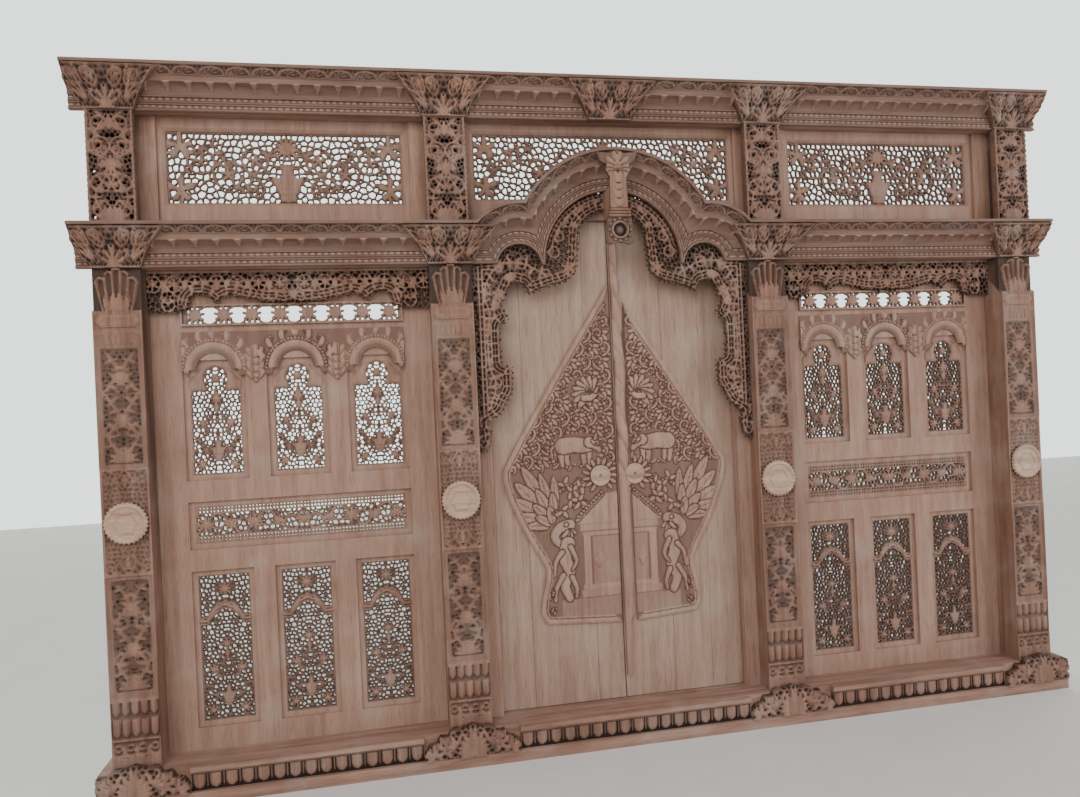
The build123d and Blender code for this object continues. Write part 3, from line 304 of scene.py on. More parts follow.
class Carving:
    """Carving laid out on a grid: where wood is left standing, and how far it rises towards the viewer."""

    def __init__(self, x0, x1, z0, z1, pitch=0.004, solid=False, base=0.0, whole=False, bold=False):
        self.box = (x0, x1, z0, z1)
        self.bold = bold
        self.breadth = 1.0 if bold else 0.58
        self.whole = whole
        self.pitch = pitch
        self.xs = np.linspace(x0, x1, max(3, round((x1 - x0) / pitch) + 1))
        self.zs = np.linspace(z0, z1, max(3, round((z1 - z0) / pitch) + 1))
        self.x, self.z = np.meshgrid(self.xs, self.zs, indexing="ij")
        self.wood = np.full(self.x.shape, 1.0 if solid else -1.0)
        self.rise = np.full(self.x.shape, float(base))
        self.order = np.zeros(self.x.shape, int)
        self.drawn = 0
        self.base = base

    def stroke(self, line, start, end, height, form="stem", floor=None):
        """One cut shape with a centre line: a stem that tapers, or a leaf that is pointed at its tip."""
        floor = self.base if floor is None else floor
        self.drawn += 1
        count = len(line) - 1
        share = np.linspace(0, 1, count + 1)
        if form == "leaf":
            radii = start * 2.32 * np.sqrt(share) * (1 - share) ** 0.75 + 0.0012
        else:
            radii = start + (end - start) * share
        for k in range(count):
            (xa, za), (xb, zb) = line[k], line[k + 1]
            ra, rb = radii[k], radii[k + 1]
            reach = max(ra, rb) + 2.2 * self.pitch
            i0, i1 = np.searchsorted(self.xs, (min(xa, xb) - reach, max(xa, xb) + reach))
            j0, j1 = np.searchsorted(self.zs, (min(za, zb) - reach, max(za, zb) + reach))
            if i1 <= i0 or j1 <= j0:
                continue
            t, gap = to_stretch(self.x[i0:i1, j0:j1], self.z[i0:i1, j0:j1], line[k], line[k + 1])
            radius = ra + (rb - ra) * t
            inside = radius - gap
            depth = np.clip(inside / np.maximum(radius, 1e-6), 0, 1)
            if form == "leaf":
                slope = 0.45 + 0.55 * np.sqrt(depth / 0.3)
                shape = np.where(depth < 0.3, slope, 0.75 + 0.25 * np.cos((depth - 0.3) * 8))
            elif form == "flat":
                shape = np.clip(0.6 + depth * 2, 0, 1)
            else:
                shape = 0.4 + 0.6 * np.sqrt(1 - (1 - depth) ** 2)
            top = floor + height * shape
            at = (slice(i0, i1), slice(j0, j1))
            if self.bold:
                cut = np.where(inside > -0.0042, np.minimum(self.rise[at], self.base - 0.003), self.rise[at])
                own = (self.order[at] != self.drawn) | (top > self.rise[at])
                cut = np.where(self.order[at] == self.drawn, self.rise[at], cut)
                self.rise[at] = np.where(inside > 0, np.where(own, top, self.rise[at]), cut)
                self.order[at] = np.where(inside > 0, self.drawn, self.order[at])
            else:
                self.rise[at] = np.where(inside > 0, np.maximum(self.rise[at], top), self.rise[at])
            self.wood[at] = np.maximum(self.wood[at], inside)

    def leaf(self, x, z, angle, length, width, turn, height, floor=None):
        """A pointed leaf that leaves its foot at an angle and bends as it goes."""
        self.stroke(curl(x, z, angle, length, turn, 0.5), self.breadth * width / 2, 0, height, "leaf", floor)

    def dot(self, x, z, radius, height, floor=None):
        """A round bead or berry."""
        self.stroke(np.array([(x - 1e-5, z), (x + 1e-5, z)]), radius, radius, height, "stem", floor)

    def scroll(self, x, z, angle, size, hand, height, floor=None):
        """A stem that winds in on itself and ends in a round eye, with two leaflets on its back."""
        line = curl(x, z, angle, 3.3 * size, 520 * hand, 1.0, 16)
        width = self.breadth * size
        self.stroke(line, 0.2 * width, 0.13 * width, height, "stem", floor)
        self.dot(line[-1][0], line[-1][1], 0.24 * width, height, floor)
        for k in (2, 5):
            (xa, za), (xb, zb) = line[k], line[k + 1]
            out = math.degrees(math.atan2(zb - za, xb - xa)) - 50 * hand
            self.leaf(xa, za, out, 0.8 * size, 0.34 * size, 60 * hand, height, floor)

    def flower(self, x, z, radius, petals, height, floor=None):
        """A rosette: petals that widen outwards round a raised eye."""
        for k in range(petals):
            angle = 90 + 360 * k / petals
            line = curl(x, z, angle, radius, 0, 0, 4)
            self.stroke(line, 0.16 * radius, 2.4 * self.breadth * radius / petals, height, "stem", floor)
        self.dot(x, z, 0.34 * radius, 1.25 * height, floor)

    def vine(self, points, width, leaf, gap, height, floor=None, start_side=1):
        """A stem through the points with leaves on both sides, each with a smaller one at its foot."""
        line = through(points)
        self.stroke(line, width, 0.7 * width, height, "stem", floor)
        steps = np.hypot(*np.diff(line, axis=0).T)
        place, side = 0.4 * gap, start_side
        passed = 0.0
        for (xa, za), (xb, zb), step in zip(line, line[1:], steps):
            while passed + step > place:
                t = (place - passed) / step
                x, z = xa + t * (xb - xa), za + t * (zb - za)
                heading = math.degrees(math.atan2(zb - za, xb - xa))
                self.leaf(x, z, heading + 48 * side, leaf, 0.42 * leaf, 75 * side, height, floor)
                self.leaf(x, z, heading - 62 * side, 0.62 * leaf, 0.3 * leaf, -80 * side, 0.9 * height, floor)
                side = -side
                place += gap
            passed += step

    def border(self, width, height, floor=None):
        """A plain band round the edge of the grid."""
        x0, x1, z0, z1 = self.box
        floor = self.base if floor is None else floor
        inside = width - np.minimum(
            np.minimum(self.x - x0, x1 - self.x), np.minimum(self.z - z0, z1 - self.z)
        )
        self.wood = np.maximum(self.wood, inside)
        self.rise = np.where(inside > 0, np.maximum(self.rise, floor + height), self.rise)

    def plate(self, x0, x1, z0, z1, height):
        """Sets a plain rectangle to one height."""
        held = (self.x > x0) & (self.x < x1) & (self.z > z0) & (self.z < z1)
        self.rise[held] = height

    def band(self, line, radius, height, floor=None, form="flat"):
        """A strip of even width along a line."""
        self.stroke(np.array(line), radius, radius, height, form, floor)

    def lace(self, cell, width, height, seed, floor=None, stretch=1.0):
        """A net of thin strips round holes of uneven shape, as a fretsaw leaves them between leaves."""
        floor = self.base if floor is None else floor
        x0, x1, z0, z1 = self.box
        middle = x0 if self.whole else (x0 + x1) / 2
        chance = np.random.default_rng(seed)
        columns = max(1, round((x1 - middle) / cell))
        rows = max(2, round((z1 - z0) / (cell * stretch)))
        seeds = []
        for i in range(-1, columns + 1):
            for j in range(-1, rows + 1):
                jitter = chance.uniform(-0.36, 0.36, 2)
                shift = 0.5 if j % 2 else 0.0
                sx = middle + (i + 0.5 + shift + jitter[0]) * (x1 - middle) / columns
                seeds.append((sx, z0 + (j + 0.5 + jitter[1]) * (z1 - z0) / rows))
        half = 0 if self.whole else self.x.shape[0] // 2
        x, z = self.x[half:], self.z[half:]
        first = np.full(x.shape, 9.0)
        second = np.full(x.shape, 9.0)
        for sx, sz in seeds:
            gap = np.hypot(x - sx, (z - sz) / stretch)
            second = np.minimum(second, np.maximum(first, gap))
            first = np.minimum(first, gap)
        inside = width / 2 - (second - first) / 2
        top = floor + height * (0.5 + 0.5 * np.sqrt(np.clip(2 * inside / width, 0, 1)))
        self.wood[half:] = np.maximum(self.wood[half:], inside)
        self.rise[half:] = np.where(inside > 0, np.maximum(self.rise[half:], top), self.rise[half:])

    def ring(self, x, z, radius, width, height, floor=None):
        """A stem bent into a full circle."""
        turns = np.linspace(0, math.tau, 19)
        line = np.stack([x + radius * np.cos(turns), z + radius * np.sin(turns)], 1)
        self.stroke(line, width, width, height, "stem", floor)

    def board(self, outline, height, lip=0.0):
        """A flat shape with the outline given, standing at one height, with a softened edge."""
        inside, _ = edge_field(self.x, self.z, outline)
        self.wood = np.maximum(self.wood, inside)
        top = height * (1 - 0.4 * np.clip(1 - inside / max(lip, 1e-6), 0, 1) ** 2)
        self.rise = np.where(inside > 0, np.maximum(self.rise, self.base + top), self.rise)

    def clip(self, outline):
        """Nothing stays outside the outline. Gives how far each point lies inside it, and where along it."""
        inside, along = edge_field(self.x, self.z, outline)
        self.wood = np.minimum(self.wood, inside)
        return inside, along

    def mirror(self):
        """The left half repeats the right half."""
        self.wood = np.maximum(self.wood, self.wood[::-1])
        self.rise = np.maximum(self.rise, self.rise[::-1])

    def inlay(self, other, ground):
        """Takes over a panel laid out on a grid of its own; its holes are sunk to the ground."""
        i0 = int(np.searchsorted(self.xs, other.box[0]))
        j0 = int(np.searchsorted(self.zs, other.box[2]))
        part = self.rise[i0 : i0 + other.rise.shape[0], j0 : j0 + other.rise.shape[1]]
        held = (slice(part.shape[0]), slice(part.shape[1]))
        part[:] = np.where(other.wood[held] > 0, other.rise[held], ground)

    def piece(self, name, front, back, finish, place=None, soften=1):
        """The carving as one closed mesh; front and back are where the uncarved faces lie."""
        rise = self.rise.copy()
        for _ in range(soften):
            wide = np.pad(rise, 1, mode="edge")
            rise = 0.5 * rise + 0.125 * (wide[2:, 1:-1] + wide[:-2, 1:-1] + wide[1:-1, 2:] + wide[1:-1, :-2])
        if self.wood.min() > 0 and place is None:
            return self.solid_piece(name, rise, front, back, finish)
        held = self.wood > 0
        cells = held[:-1, :-1] | held[1:, :-1] | held[:-1, 1:] | held[1:, 1:]
        slope_x, slope_z = np.gradient(self.wood, self.xs, self.zs)
        steep = np.maximum(slope_x**2 + slope_z**2, 0.3)
        step = np.where(held, 0, -self.wood / steep)
        reach = 0.75 * self.pitch
        x = self.x + np.clip(step * slope_x, -reach, reach)
        z = self.z + np.clip(step * slope_z, -reach, reach)
        x = np.clip(x, self.box[0], self.box[1])
        z = np.clip(z, self.box[2], self.box[3])
        used = np.zeros(held.shape, bool)
        used[:-1, :-1] |= cells
        used[1:, :-1] |= cells
        used[:-1, 1:] |= cells
        used[1:, 1:] |= cells
        number = np.full(held.shape, -1)
        count = int(used.sum())
        number[used] = np.arange(count)
        x, z, rise = x[used], z[used], rise[used]
        if place is None:
            near = np.stack([x, front - rise, z], 1)
            far = np.stack([x, np.full(count, float(back)), z], 1)
        else:
            near, far = place(x, z, rise)
        a, b = number[:-1, :-1][cells], number[1:, :-1][cells]
        c, d = number[1:, 1:][cells], number[:-1, 1:][cells]
        faces = [np.stack([a, b, c, d], 1), np.stack([d, c, b, a], 1) + count]
        wide = np.pad(cells, 1)
        for dx, dz, p, q in ((0, -1, a, b), (1, 0, b, c), (0, 1, c, d), (-1, 0, d, a)):
            open_side = ~wide[1 + dx : wide.shape[0] - 1 + dx, 1 + dz : wide.shape[1] - 1 + dz][cells]
            p, q = p[open_side], q[open_side]
            faces.append(np.stack([q, p, p + count, q + count], 1))
        faces = np.concatenate(faces)
        mesh = bpy.data.meshes.new(name)
        mesh.from_pydata(np.concatenate([near, far]).tolist(), [], faces.tolist())
        # The back and the walls of the holes get a middle value, so they take part of the painted shade.
        mark_raised(mesh, rise, count, 0.35)
        return thinned(finished(mesh, name, finish))

    def solid_piece(self, name, rise, front, back, finish):
        """A carved face on a whole block: its sides and back are plain."""
        nx, nz = rise.shape
        near = np.stack([self.x, front - rise, self.z], 2).reshape(-1, 3)
        x0, x1, z0, z1 = self.box
        far = [(x0, back, z0), (x1, back, z0), (x1, back, z1), (x0, back, z1)]
        number = np.arange(nx * nz).reshape(nx, nz)
        quads = [number[:-1, :-1], number[1:, :-1], number[1:, 1:], number[:-1, 1:]]
        faces = np.stack([q.ravel() for q in quads], 1).tolist()
        n = nx * nz
        faces.append([n + 3, n + 2, n + 1, n])
        faces.append([*number[::-1, 0].tolist(), n, n + 1])
        faces.append([*number[-1, ::-1].tolist(), n + 1, n + 2])
        faces.append([*number[:, -1].tolist(), n + 2, n + 3])
        faces.append([*number[0, :].tolist(), n + 3, n])
        mesh = bpy.data.meshes.new(name)
        mesh.from_pydata(near.tolist() + far, [], faces)
        mark_raised(mesh, rise.ravel(), 4, 0.6)
        return thinned(finished(mesh, name, finish))


def mark_raised(mesh, rise, behind, value):
    """Stores how far each point of the face stands out, 0 to 1, and one value behind; it steers painted
    shade.
    """
    share = (rise - rise.min()) / max(rise.max() - rise.min(), 1e-6)
    raised = mesh.attributes.new("raised", "FLOAT", "POINT")
    raised.data.foreach_set("value", np.concatenate([share, np.full(behind, value)]).astype(np.float32))


def thinned(thing, share=0.42):
    """Joins the small faces that lie nearly flat, until only this share is left. Sawn ends stay flat."""
    lighter = thing.modifiers.new("Lighter", "DECIMATE")
    lighter.ratio = share
    bpy.ops.object.select_all(action="DESELECT")
    thing.select_set(True)
    bpy.context.view_layer.objects.active = thing
    bpy.ops.object.modifier_apply(modifier=lighter.name)
    normals = np.empty(3 * len(thing.data.polygons))
    thing.data.polygons.foreach_get("normal", normals)
    sawn = np.abs(normals.reshape(-1, 3)[:, ::2]).max(1) > 0.995
    thing.data.polygons.foreach_set("use_smooth", ~sawn)
    return thing


def finished(mesh, name, finish, sharp=42):
    """Links a mesh as an object, smooth where its faces meet gently, with its material."""
    thing = bpy.data.objects.new(name, mesh)
    bpy.context.scene.collection.objects.link(thing)
    mesh.materials.append(finish)
    bpy.ops.object.select_all(action="DESELECT")
    thing.select_set(True)
    bpy.context.view_layer.objects.active = thing
    bpy.ops.object.shade_smooth_by_angle(angle=math.radians(sharp))
    return thing


def turned_out(thing):
    """Turns all faces outwards, on the active piece."""
    bpy.ops.object.mode_set(mode="EDIT")
    bpy.ops.mesh.select_all(action="SELECT")
    bpy.ops.mesh.normals_make_consistent(inside=False)
    bpy.ops.object.mode_set(mode="OBJECT")
    return thing


def bordered(name, outer, inner, front, step, back, finish):
    """A plain board with one window, whose edge is stepped down towards the window."""
    a0, a1, c0, c1 = inner
    lip = 0.012
    loops = []
    for y, (p0, p1, q0, q1) in (
        (back, outer),
        (front, outer),
        (front, (a0 - lip, a1 + lip, c0 - lip, c1 + lip)),
        (front + 0.5 * step, (a0 - 0.4 * lip, a1 + 0.4 * lip, c0 - 0.4 * lip, c1 + 0.4 * lip)),
        (front + step, inner),
        (back, inner),
    ):
        loops.append([(p0, y, q0), (p1, y, q0), (p1, y, q1), (p0, y, q1)])
    vertices = [corner for loop in loops for corner in loop]
    faces = []
    for k in range(6):
        for i in range(4):
            j = (i + 1) % 4
            n = (k + 1) % 6
            faces.append((4 * k + i, 4 * k + j, 4 * n + j, 4 * n + i))
    mesh = bpy.data.meshes.new(name)
    mesh.from_pydata(vertices, [], faces)
    return turned_out(finished(mesh, name, finish, 20))


# Transoms: three boards between the upper posts, pierced right through. A saw opens the holes, and the leaves
# are then cut with gouges. Each stands in a plain border that is stepped down to the field.
def crown(carve, x, z, half, tall, height):
    """A low vase with a three-pointed crown of leaves."""
    right_side = [
        (0.42, 0), (0.5, 0.22), (0.62, 0.3), (1.0, 0.68), (0.55, 0.62), (0.32, 0.7), (0.24, 0.9), (0, 1.0)
    ]
    outline = [(x + half * a, z + tall * b) for a, b in right_side]
    outline += [(x - half * a, z + tall * b) for a, b in right_side[-2::-1]]
    carve.board(outline, height, 0.004)
    for level in (z + 0.22 * tall, z + 0.36 * tall):
        carve.band([(x - 0.4 * half, level), (x + 0.4 * half, level)], 0.0022, 1.5 * height)


def transom_field(name, centre, half, low, high, front, back, vase):
    """A rosette over a crowned vase, rings of stems and corner flowers in a net of leaves."""
    tall = high - low
    carve = Carving(centre - half, centre + half, low, high, 0.0038)
    carve.lace(0.0255, 0.0058, 0.006, 11 if vase else 12)
    rings = ((0.27, 0.62, 0.052), (0.27, 0.22, 0.034), (0.5, 0.42, 0.058), (0.72, 0.6, 0.05))
    for share, level, radius in rings:
        carve.ring(centre + share * half, low + level * tall, radius, 0.0034, 0.008)
        carve.flower(centre + share * half, low + level * tall, 0.42 * radius, 5, 0.009)
    stem = ((0, 0.1), (0.12, 0.75), (0.4, 0.2), (0.62, 0.85), (0.9, 0.35))
    carve.vine([(centre + a * half, low + b * tall) for a, b in stem], 0.0032, 0.030, 0.05, 0.008)
    for level in (0.2, 0.8):
        corner = (centre + half - 0.05, low + level * tall)
        carve.flower(*corner, 0.040, 5, 0.011)
        for angle in (20, 140, 260):
            carve.leaf(*corner, angle + 60 * (level > 0.5), 0.062, 0.02, 30, 0.010)
    carve.flower(centre, low + 0.78 * tall, 0.044, 11, 0.012)
    carve.dot(centre, low + 0.78 * tall, 0.026, 0.010)
    carve.ring(centre, low + 0.78 * tall, 0.02, 0.003, 0.015)
    if vase:
        crown(carve, centre, low + 0.03 * tall, 0.066, 0.55 * tall, 0.010)
    carve.border(0.006, 0.006)
    carve.mirror()
    return carve.piece(name, front, back, pierced_teak)


side_half, middle_half, to_core = 0.458, 0.575, 0.0235
for node in ("transom_left", "transom_right", "transom_centre"):
    low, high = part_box(node)
    centre = (low.x + high.x) / 2
    half, foot, head = (side_half, low.z + 0.104, high.z - 0.048)
    if node == "transom_centre":
        centre, half, foot, head = 0.0, middle_half, 2.322, 2.6
    frame_box = (low.x - to_core, high.x + to_core, low.z, high.z)
    window = (centre - half, centre + half, foot, head)
    border = bordered(node + "_border", frame_box, window, low.y, 0.012, high.y, panel_teak)
    front, back = low.y + 0.023, high.y - 0.004
    field = transom_field(node + "_field", centre, half, foot, head, front, back, node != "transom_centre")
    for piece in (border, field):
        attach(piece, "frame")
        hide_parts(node)


# Upper posts: a plain square core with a carved openwork board held off it by two ties. Paired scrolls run up
# both sides of a rosette, over a fan of leaves, and the edges are cut into slanting notches. A stile beside
# each post covers the joint with the transom.
def upper_post_board(name, x, low, high, front, back):
    half = 0.0835
    tall = high - low
    carve = Carving(x - half, x + half, low, high, 0.0038)
    carve.lace(0.0185, 0.0056, 0.006, 5)
    for level, radius in ((0.14, 0.030), (0.36, 0.034), (0.68, 0.036), (0.88, 0.026)):
        carve.ring(x + 0.037, low + level * tall, radius, 0.0048, 0.011)
        carve.scroll(x + 0.012, low + level * tall - radius, 20, 0.8 * radius, 1, 0.012)
    stem = ((0, 0), (0.058, 0.24), (0.01, 0.48), (0.06, 0.7), (0.012, 0.96))
    carve.vine([(x + a, low + b * tall) for a, b in stem], 0.0048, 0.038, 0.034, 0.012)
    carve.flower(x, low + 0.52 * tall, 0.034, 10, 0.015)
    for k in range(5):
        carve.leaf(x, low + 0.02 * tall, 90 - 20 * k, 0.062, 0.022, -20, 0.014)
    carve.leaf(x, low + 0.82 * tall, 90, 0.06, 0.03, 0, 0.014)
    edge = 0.010
    band = np.abs(carve.x - x) - (half - edge)
    notch = 0.0035 * np.sign(np.sin((carve.z + (carve.x - x)) * math.tau / 0.024))
    carve.wood = np.maximum(carve.wood, band)
    carve.rise = np.where(band > 0, np.maximum(carve.rise, 0.008 + notch), carve.rise)
    carve.border(0.005, 0.006)
    carve.mirror()
    return carve.piece(name, front, back, carved_teak)


def plain_block(name, x, y, z, finish, bevel=0.002):
    """A sawn block between two corners, with its edges just broken."""
    bpy.ops.object.select_all(action="DESELECT")
    bpy.ops.mesh.primitive_cube_add(size=1)
    thing = bpy.context.object
    thing.name = name
    size = [b - a for a, b in (x, y, z)]
    middle = [(a + b) / 2 for a, b in (x, y, z)]
    thing.data.transform(Matrix.Translation(middle) @ Matrix.Diagonal((*size, 1)))
    thing.data.materials.append(finish)
    modifier = thing.modifiers.new("edges", "BEVEL")
    modifier.width = bevel
    modifier.segments = 2
    bpy.ops.object.modifier_apply(modifier=modifier.name)
    bpy.ops.object.shade_smooth_by_angle(angle=math.radians(35))
    return thing


post_places = (-1.965, -0.700, 0.700, 1.965)
core_half, core_front, core_back = 0.06, -0.034, 0.086
for number, x in enumerate(post_places, 1):
    node = f"upper_post_{number}"
    low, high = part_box(node)
    width, height = (x - core_half, x + core_half), (low.z, high.z)
    tie_depth = (low.y + 0.034, core_front + 0.002)
    pieces = [
        upper_post_board(node + "_board", x, low.z, high.z, low.y + 0.012, low.y + 0.036),
        plain_block(node + "_core", width, (core_front, core_back), height, shaded_teak),
        plain_block(node + "_tie_low", width, tie_depth, (low.z, low.z + 0.03), post_teak),
        plain_block(node + "_tie_high", width, tie_depth, (high.z - 0.03, high.z), post_teak),
    ]
    for side in (-1, 1):
        beside = abs(x + side * 0.1)
        if beside < 2.0:
            strip = sorted((x + side * (core_half + 0.0005), x + side * (0.106 if beside < 0.7 else 0.146)))
            pieces += [plain_block(f"{node}_stile_{side + 2}", strip, (-0.015, -0.0003), height, post_teak)]
    if number == 4:
        peg = ((x + 0.058, high.x), (0.005, 0.047), (2.556, 2.598))
        pieces += [plain_block("post_peg", *peg, post_teak, 0.003)]
    for piece in pieces:
        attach(piece, "frame")
        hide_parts(node)


# Lower posts: one square timber each, carved on its face from the sill to the capital. From the foot up come
# sprays of flowers, fluted tongues, a sunk vine panel, scrolls behind the medallion, a second vine panel, a
# row of tassels, a woven cartouche and a shell.
def vine_panel(carve, x, low, high):
    """A sunk panel with two rosettes on a waving vine and a half sun at its foot."""
    half = 0.066
    tall = high - low
    deep = -0.013
    carve.plate(x - half, x + half, low + 0.018, high - 0.018, deep)
    sunk = Carving(x - half, x + half, low + 0.018, high - 0.018, carve.pitch, base=deep)
    sunk.lace(0.0175, 0.0056, 0.008, 21)
    stem = ((0.006, 0.1), (0.050, 0.25), (0.010, 0.42), (0.052, 0.6), (0.010, 0.78), (0.045, 0.93))
    sunk.vine([(x + a, low + b * tall) for a, b in stem], 0.0036, 0.028, 0.036, 0.015)
    for level in (0.3, 0.6):
        sunk.ring(x + 0.036, low + level * tall, 0.024, 0.0028, 0.014)
    for level in (0.38, 0.72):
        sunk.flower(x, low + level * tall, 0.024, 9, 0.016)
    for k in range(4):
        sunk.leaf(x, low + 0.05 * tall, 90 - 26 * k, 0.055, 0.020, -16, 0.016)
    sunk.mirror()
    carve.inlay(sunk, deep)


def post_face(name, x):
    """The face of a post, in eight zones from the foot up to the shell."""
    z_foot, z_flutes, z_panel, z_round, z_second = 0.140, 0.252, 0.415, 0.867, 1.275
    z_tassels, z_weave, z_shell, z_top = 1.745, 1.800, 1.872, 2.037
    half = 0.086
    carve = Carving(x - half, x + half, z_foot, z_top, 0.0038, solid=True)
    carve.plate(x - 1, x + 1, z_foot, z_flutes, -0.005)
    for flower_x in (x, x + 0.043, x + 0.043 * 2):
        for angle in (90, 55, 125, 20, 160):
            length = 0.078 if angle == 90 else 0.056
            carve.leaf(flower_x, z_foot + 0.012, angle, length, 0.030, 0, 0.014, -0.005)
        carve.ring(flower_x + 0.021, z_foot + 0.082, 0.012, 0.0034, 0.013, -0.005)
        carve.dot(flower_x, z_foot + 0.014, 0.010, 0.015, -0.005)
    carve.border(0.007, 0.009)
    column = ((carve.x - x) / 0.0335 + 0.5) % 1 - 0.5
    share = (carve.z - z_flutes) / (z_panel - z_flutes) * 2
    tip = share % 1 - 0.12 - 0.55 * np.abs(column)
    rounded = 0.002 + 0.009 * np.sqrt(np.clip(1 - (column / 0.45) ** 2, 0, 1))
    tongue = np.where((tip > 0) & (np.abs(column) < 0.41), rounded, -0.005)
    tongues = (carve.z > z_flutes + 0.004) & (carve.z < z_panel - 0.018) & (np.abs(carve.x - x) < 0.083)
    carve.rise = np.where(tongues, tongue, carve.rise)
    carve.plate(x - 1, x + 1, z_flutes - 0.004, z_flutes + 0.004, 0.008)
    carve.plate(x - 1, x + 1, z_panel - 0.020, z_panel - 0.008, 0.006)
    carve.band([(x, z_panel - 0.014), (x + half, z_panel - 0.014)], 0.005, 0.010, 0.0)
    for low, high in ((z_panel, z_round), (z_second, z_tassels)):
        vine_panel(carve, x, low, high)
    carve.plate(x - 1, x + 1, z_round, z_second, -0.006)
    middle = (z_round + z_second) / 2
    inner = Carving(x - half, x + half, z_round, z_second, carve.pitch, solid=True, base=-0.006)
    inner.lace(0.0185, 0.0062, 0.007, 31)
    for level, turn in ((0.045, 1), (0.13, -1)):
        for up_or_down in (-1, 1):
            at = middle + up_or_down * (0.082 + level)
            inner.scroll(x + 0.010, at, 40 * up_or_down, 0.036, turn * up_or_down, 0.017, -0.006)
            inner.leaf(x, at, 90 * up_or_down, 0.05, 0.03, 0, 0.018, -0.006)
    inner.border(0.010, 0.013)
    inner.mirror()
    carve.inlay(inner, 0)
    for k in range(5):
        tassel_x = x + 0.0195 * (k * 2 - 4) / 2 * 1.05
        carve.band([(tassel_x, z_tassels + 0.006), (tassel_x, z_tassels + 0.034)], 0.006, 0.008, 0.0, "stem")
        carve.dot(tassel_x, z_tassels + 0.006, 0.007, 0.010, 0.0)
    for k in range(13):
        tooth_x = x + 0.013 * (k - 6)
        for level in (z_tassels + 0.046, z_shell - 0.004):
            carve.band([(tooth_x, level - 0.003), (tooth_x, level + 0.003)], 0.0038, 0.007)
    waist, top, foot = (z_weave + z_shell) / 2, z_shell - 0.010, z_weave + 0.010
    cartouche = [(-0.08, waist), (-0.06, top), (0.06, top), (0.08, waist), (0.06, foot), (-0.06, foot)]
    carve.board([(x + a, b) for a, b in cartouche], 0.009, 0.003)
    strand = math.tau / 0.013
    weave = np.sin((carve.x - x + carve.z) * strand) * np.sin((carve.x - x - carve.z) * strand)
    woven = (np.abs(carve.x - x) < 0.056) & (carve.z > z_weave + 0.016) & (carve.z < z_shell - 0.016)
    carve.rise = np.where(woven, 0.008 + 0.004 * weave, carve.rise)
    up = (carve.z - z_shell) / (z_top - z_shell)
    width = 0.050 + 0.034 * np.clip(up, 0, 1) ** 0.8
    across = np.abs(carve.x - x) / width
    brim_at = (0, 0.16, 0.2, 0.36, 0.53, 0.57, 0.75, 0.93, 1)
    brim = np.interp(across, brim_at, (0.98, 0.96, 0.88, 0.92, 0.84, 0.74, 0.78, 0.7, 0.66))
    shell = np.full(up.shape, -0.008)
    for rib in (0.18, 0.55, 0.95):
        shell = np.maximum(shell, -0.008 + 0.019 * np.exp(-(((across - rib) * width / 0.0036) ** 2)))
    shell = np.where(np.abs(up - brim) * (z_top - z_shell) < 0.0045, 0.011, shell)
    shell = np.where((up > brim + 0.03) | (across > 1.03), -0.010, shell)
    blade = np.abs(((carve.x - x) / 0.0125) % 1 - 0.5)
    fringe = (up < 0.44 * (1 - 0.7 * blade) - 0.1 * across) & (across < 0.8)
    shell = np.where(fringe, 0.011 - 0.012 * blade, shell)
    carve.rise = np.where(up > 0.03, shell, carve.rise)
    carve.mirror()
    return carve.piece(name, -0.086, 0.086, carved_teak)


for number, x in enumerate(post_places, 1):
    piece = post_face(f"post_{number}_carved", x)
    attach(piece, "frame")
    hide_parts(f"post_{number}")


# Medallions: a turned dish of paler teak with a scalloped rim, pegged on each post. A raised ring of six arcs
# is cut in the middle of the dish.
def lathe_grid(name, centre, profile, finish, lobes=0, depth=0.0, flower=None, count=120):
    """A turned piece that faces the front: rings of points at radius and height, closed in the middle."""
    turns = np.arange(count) * math.tau / count
    vertices = []
    for k, (radius, out) in enumerate(profile):
        swell = 1 - depth * np.abs(np.sin(turns * lobes / 2)) ** 0.7 if lobes and k < 5 else 1.0
        lift = flower(turns, radius) if flower else 0.0
        x = centre[0] + radius * swell * np.cos(turns)
        z = centre[2] + radius * swell * np.sin(turns)
        y = centre[1] - out - lift + 0 * turns
        vertices += np.stack([x, y, z], 1).tolist()
    vertices.append([centre[0], centre[1] - profile[-1][1], centre[2]])
    faces = []
    for k in range(len(profile) - 1):
        for i in range(count):
            j = (i + 1) % count
            faces.append((k * count + j, k * count + i, (k + 1) * count + i, (k + 1) * count + j))
    last = (len(profile) - 1) * count
    faces += [(last + (i + 1) % count, last + i, len(vertices) - 1) for i in range(count)]
    faces.append(tuple(range(count)))
    mesh = bpy.data.meshes.new(name)
    mesh.from_pydata(vertices, [], faces)
    return turned_out(finished(mesh, name, finish, 50))


def six_arcs(turns, radius):
    """The raised line of six arcs round the middle of the dish."""
    line = 0.044 - 0.008 * np.abs(np.sin(3 * turns))
    return 0.0045 * np.exp(-(((radius - line) / 0.0028) ** 2))


medallion_teak = teak("medallion_teak", "X", light=(200, 170, 148), dark=(150, 114, 94), rough=0.6)
dish = [
    (0.074, 0.0), (0.082, 0.003), (0.081, 0.010), (0.076, 0.015), (0.070, 0.016), (0.064, 0.015),
    (0.060, 0.0105)
]
dish += [(r / 1000, 0.009) for r in range(58, 28, -2)] + [(0.024, 0.0085), (0.012, 0.0085)]
for number, x in enumerate(post_places, 1):
    piece = lathe_grid(
        f"medallion_{number}_turned", (x, -0.0925, 1.071), dish, medallion_teak, 30, 0.07, six_arcs
    )
    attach(piece, "frame")
    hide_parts(f"medallion_{number}")


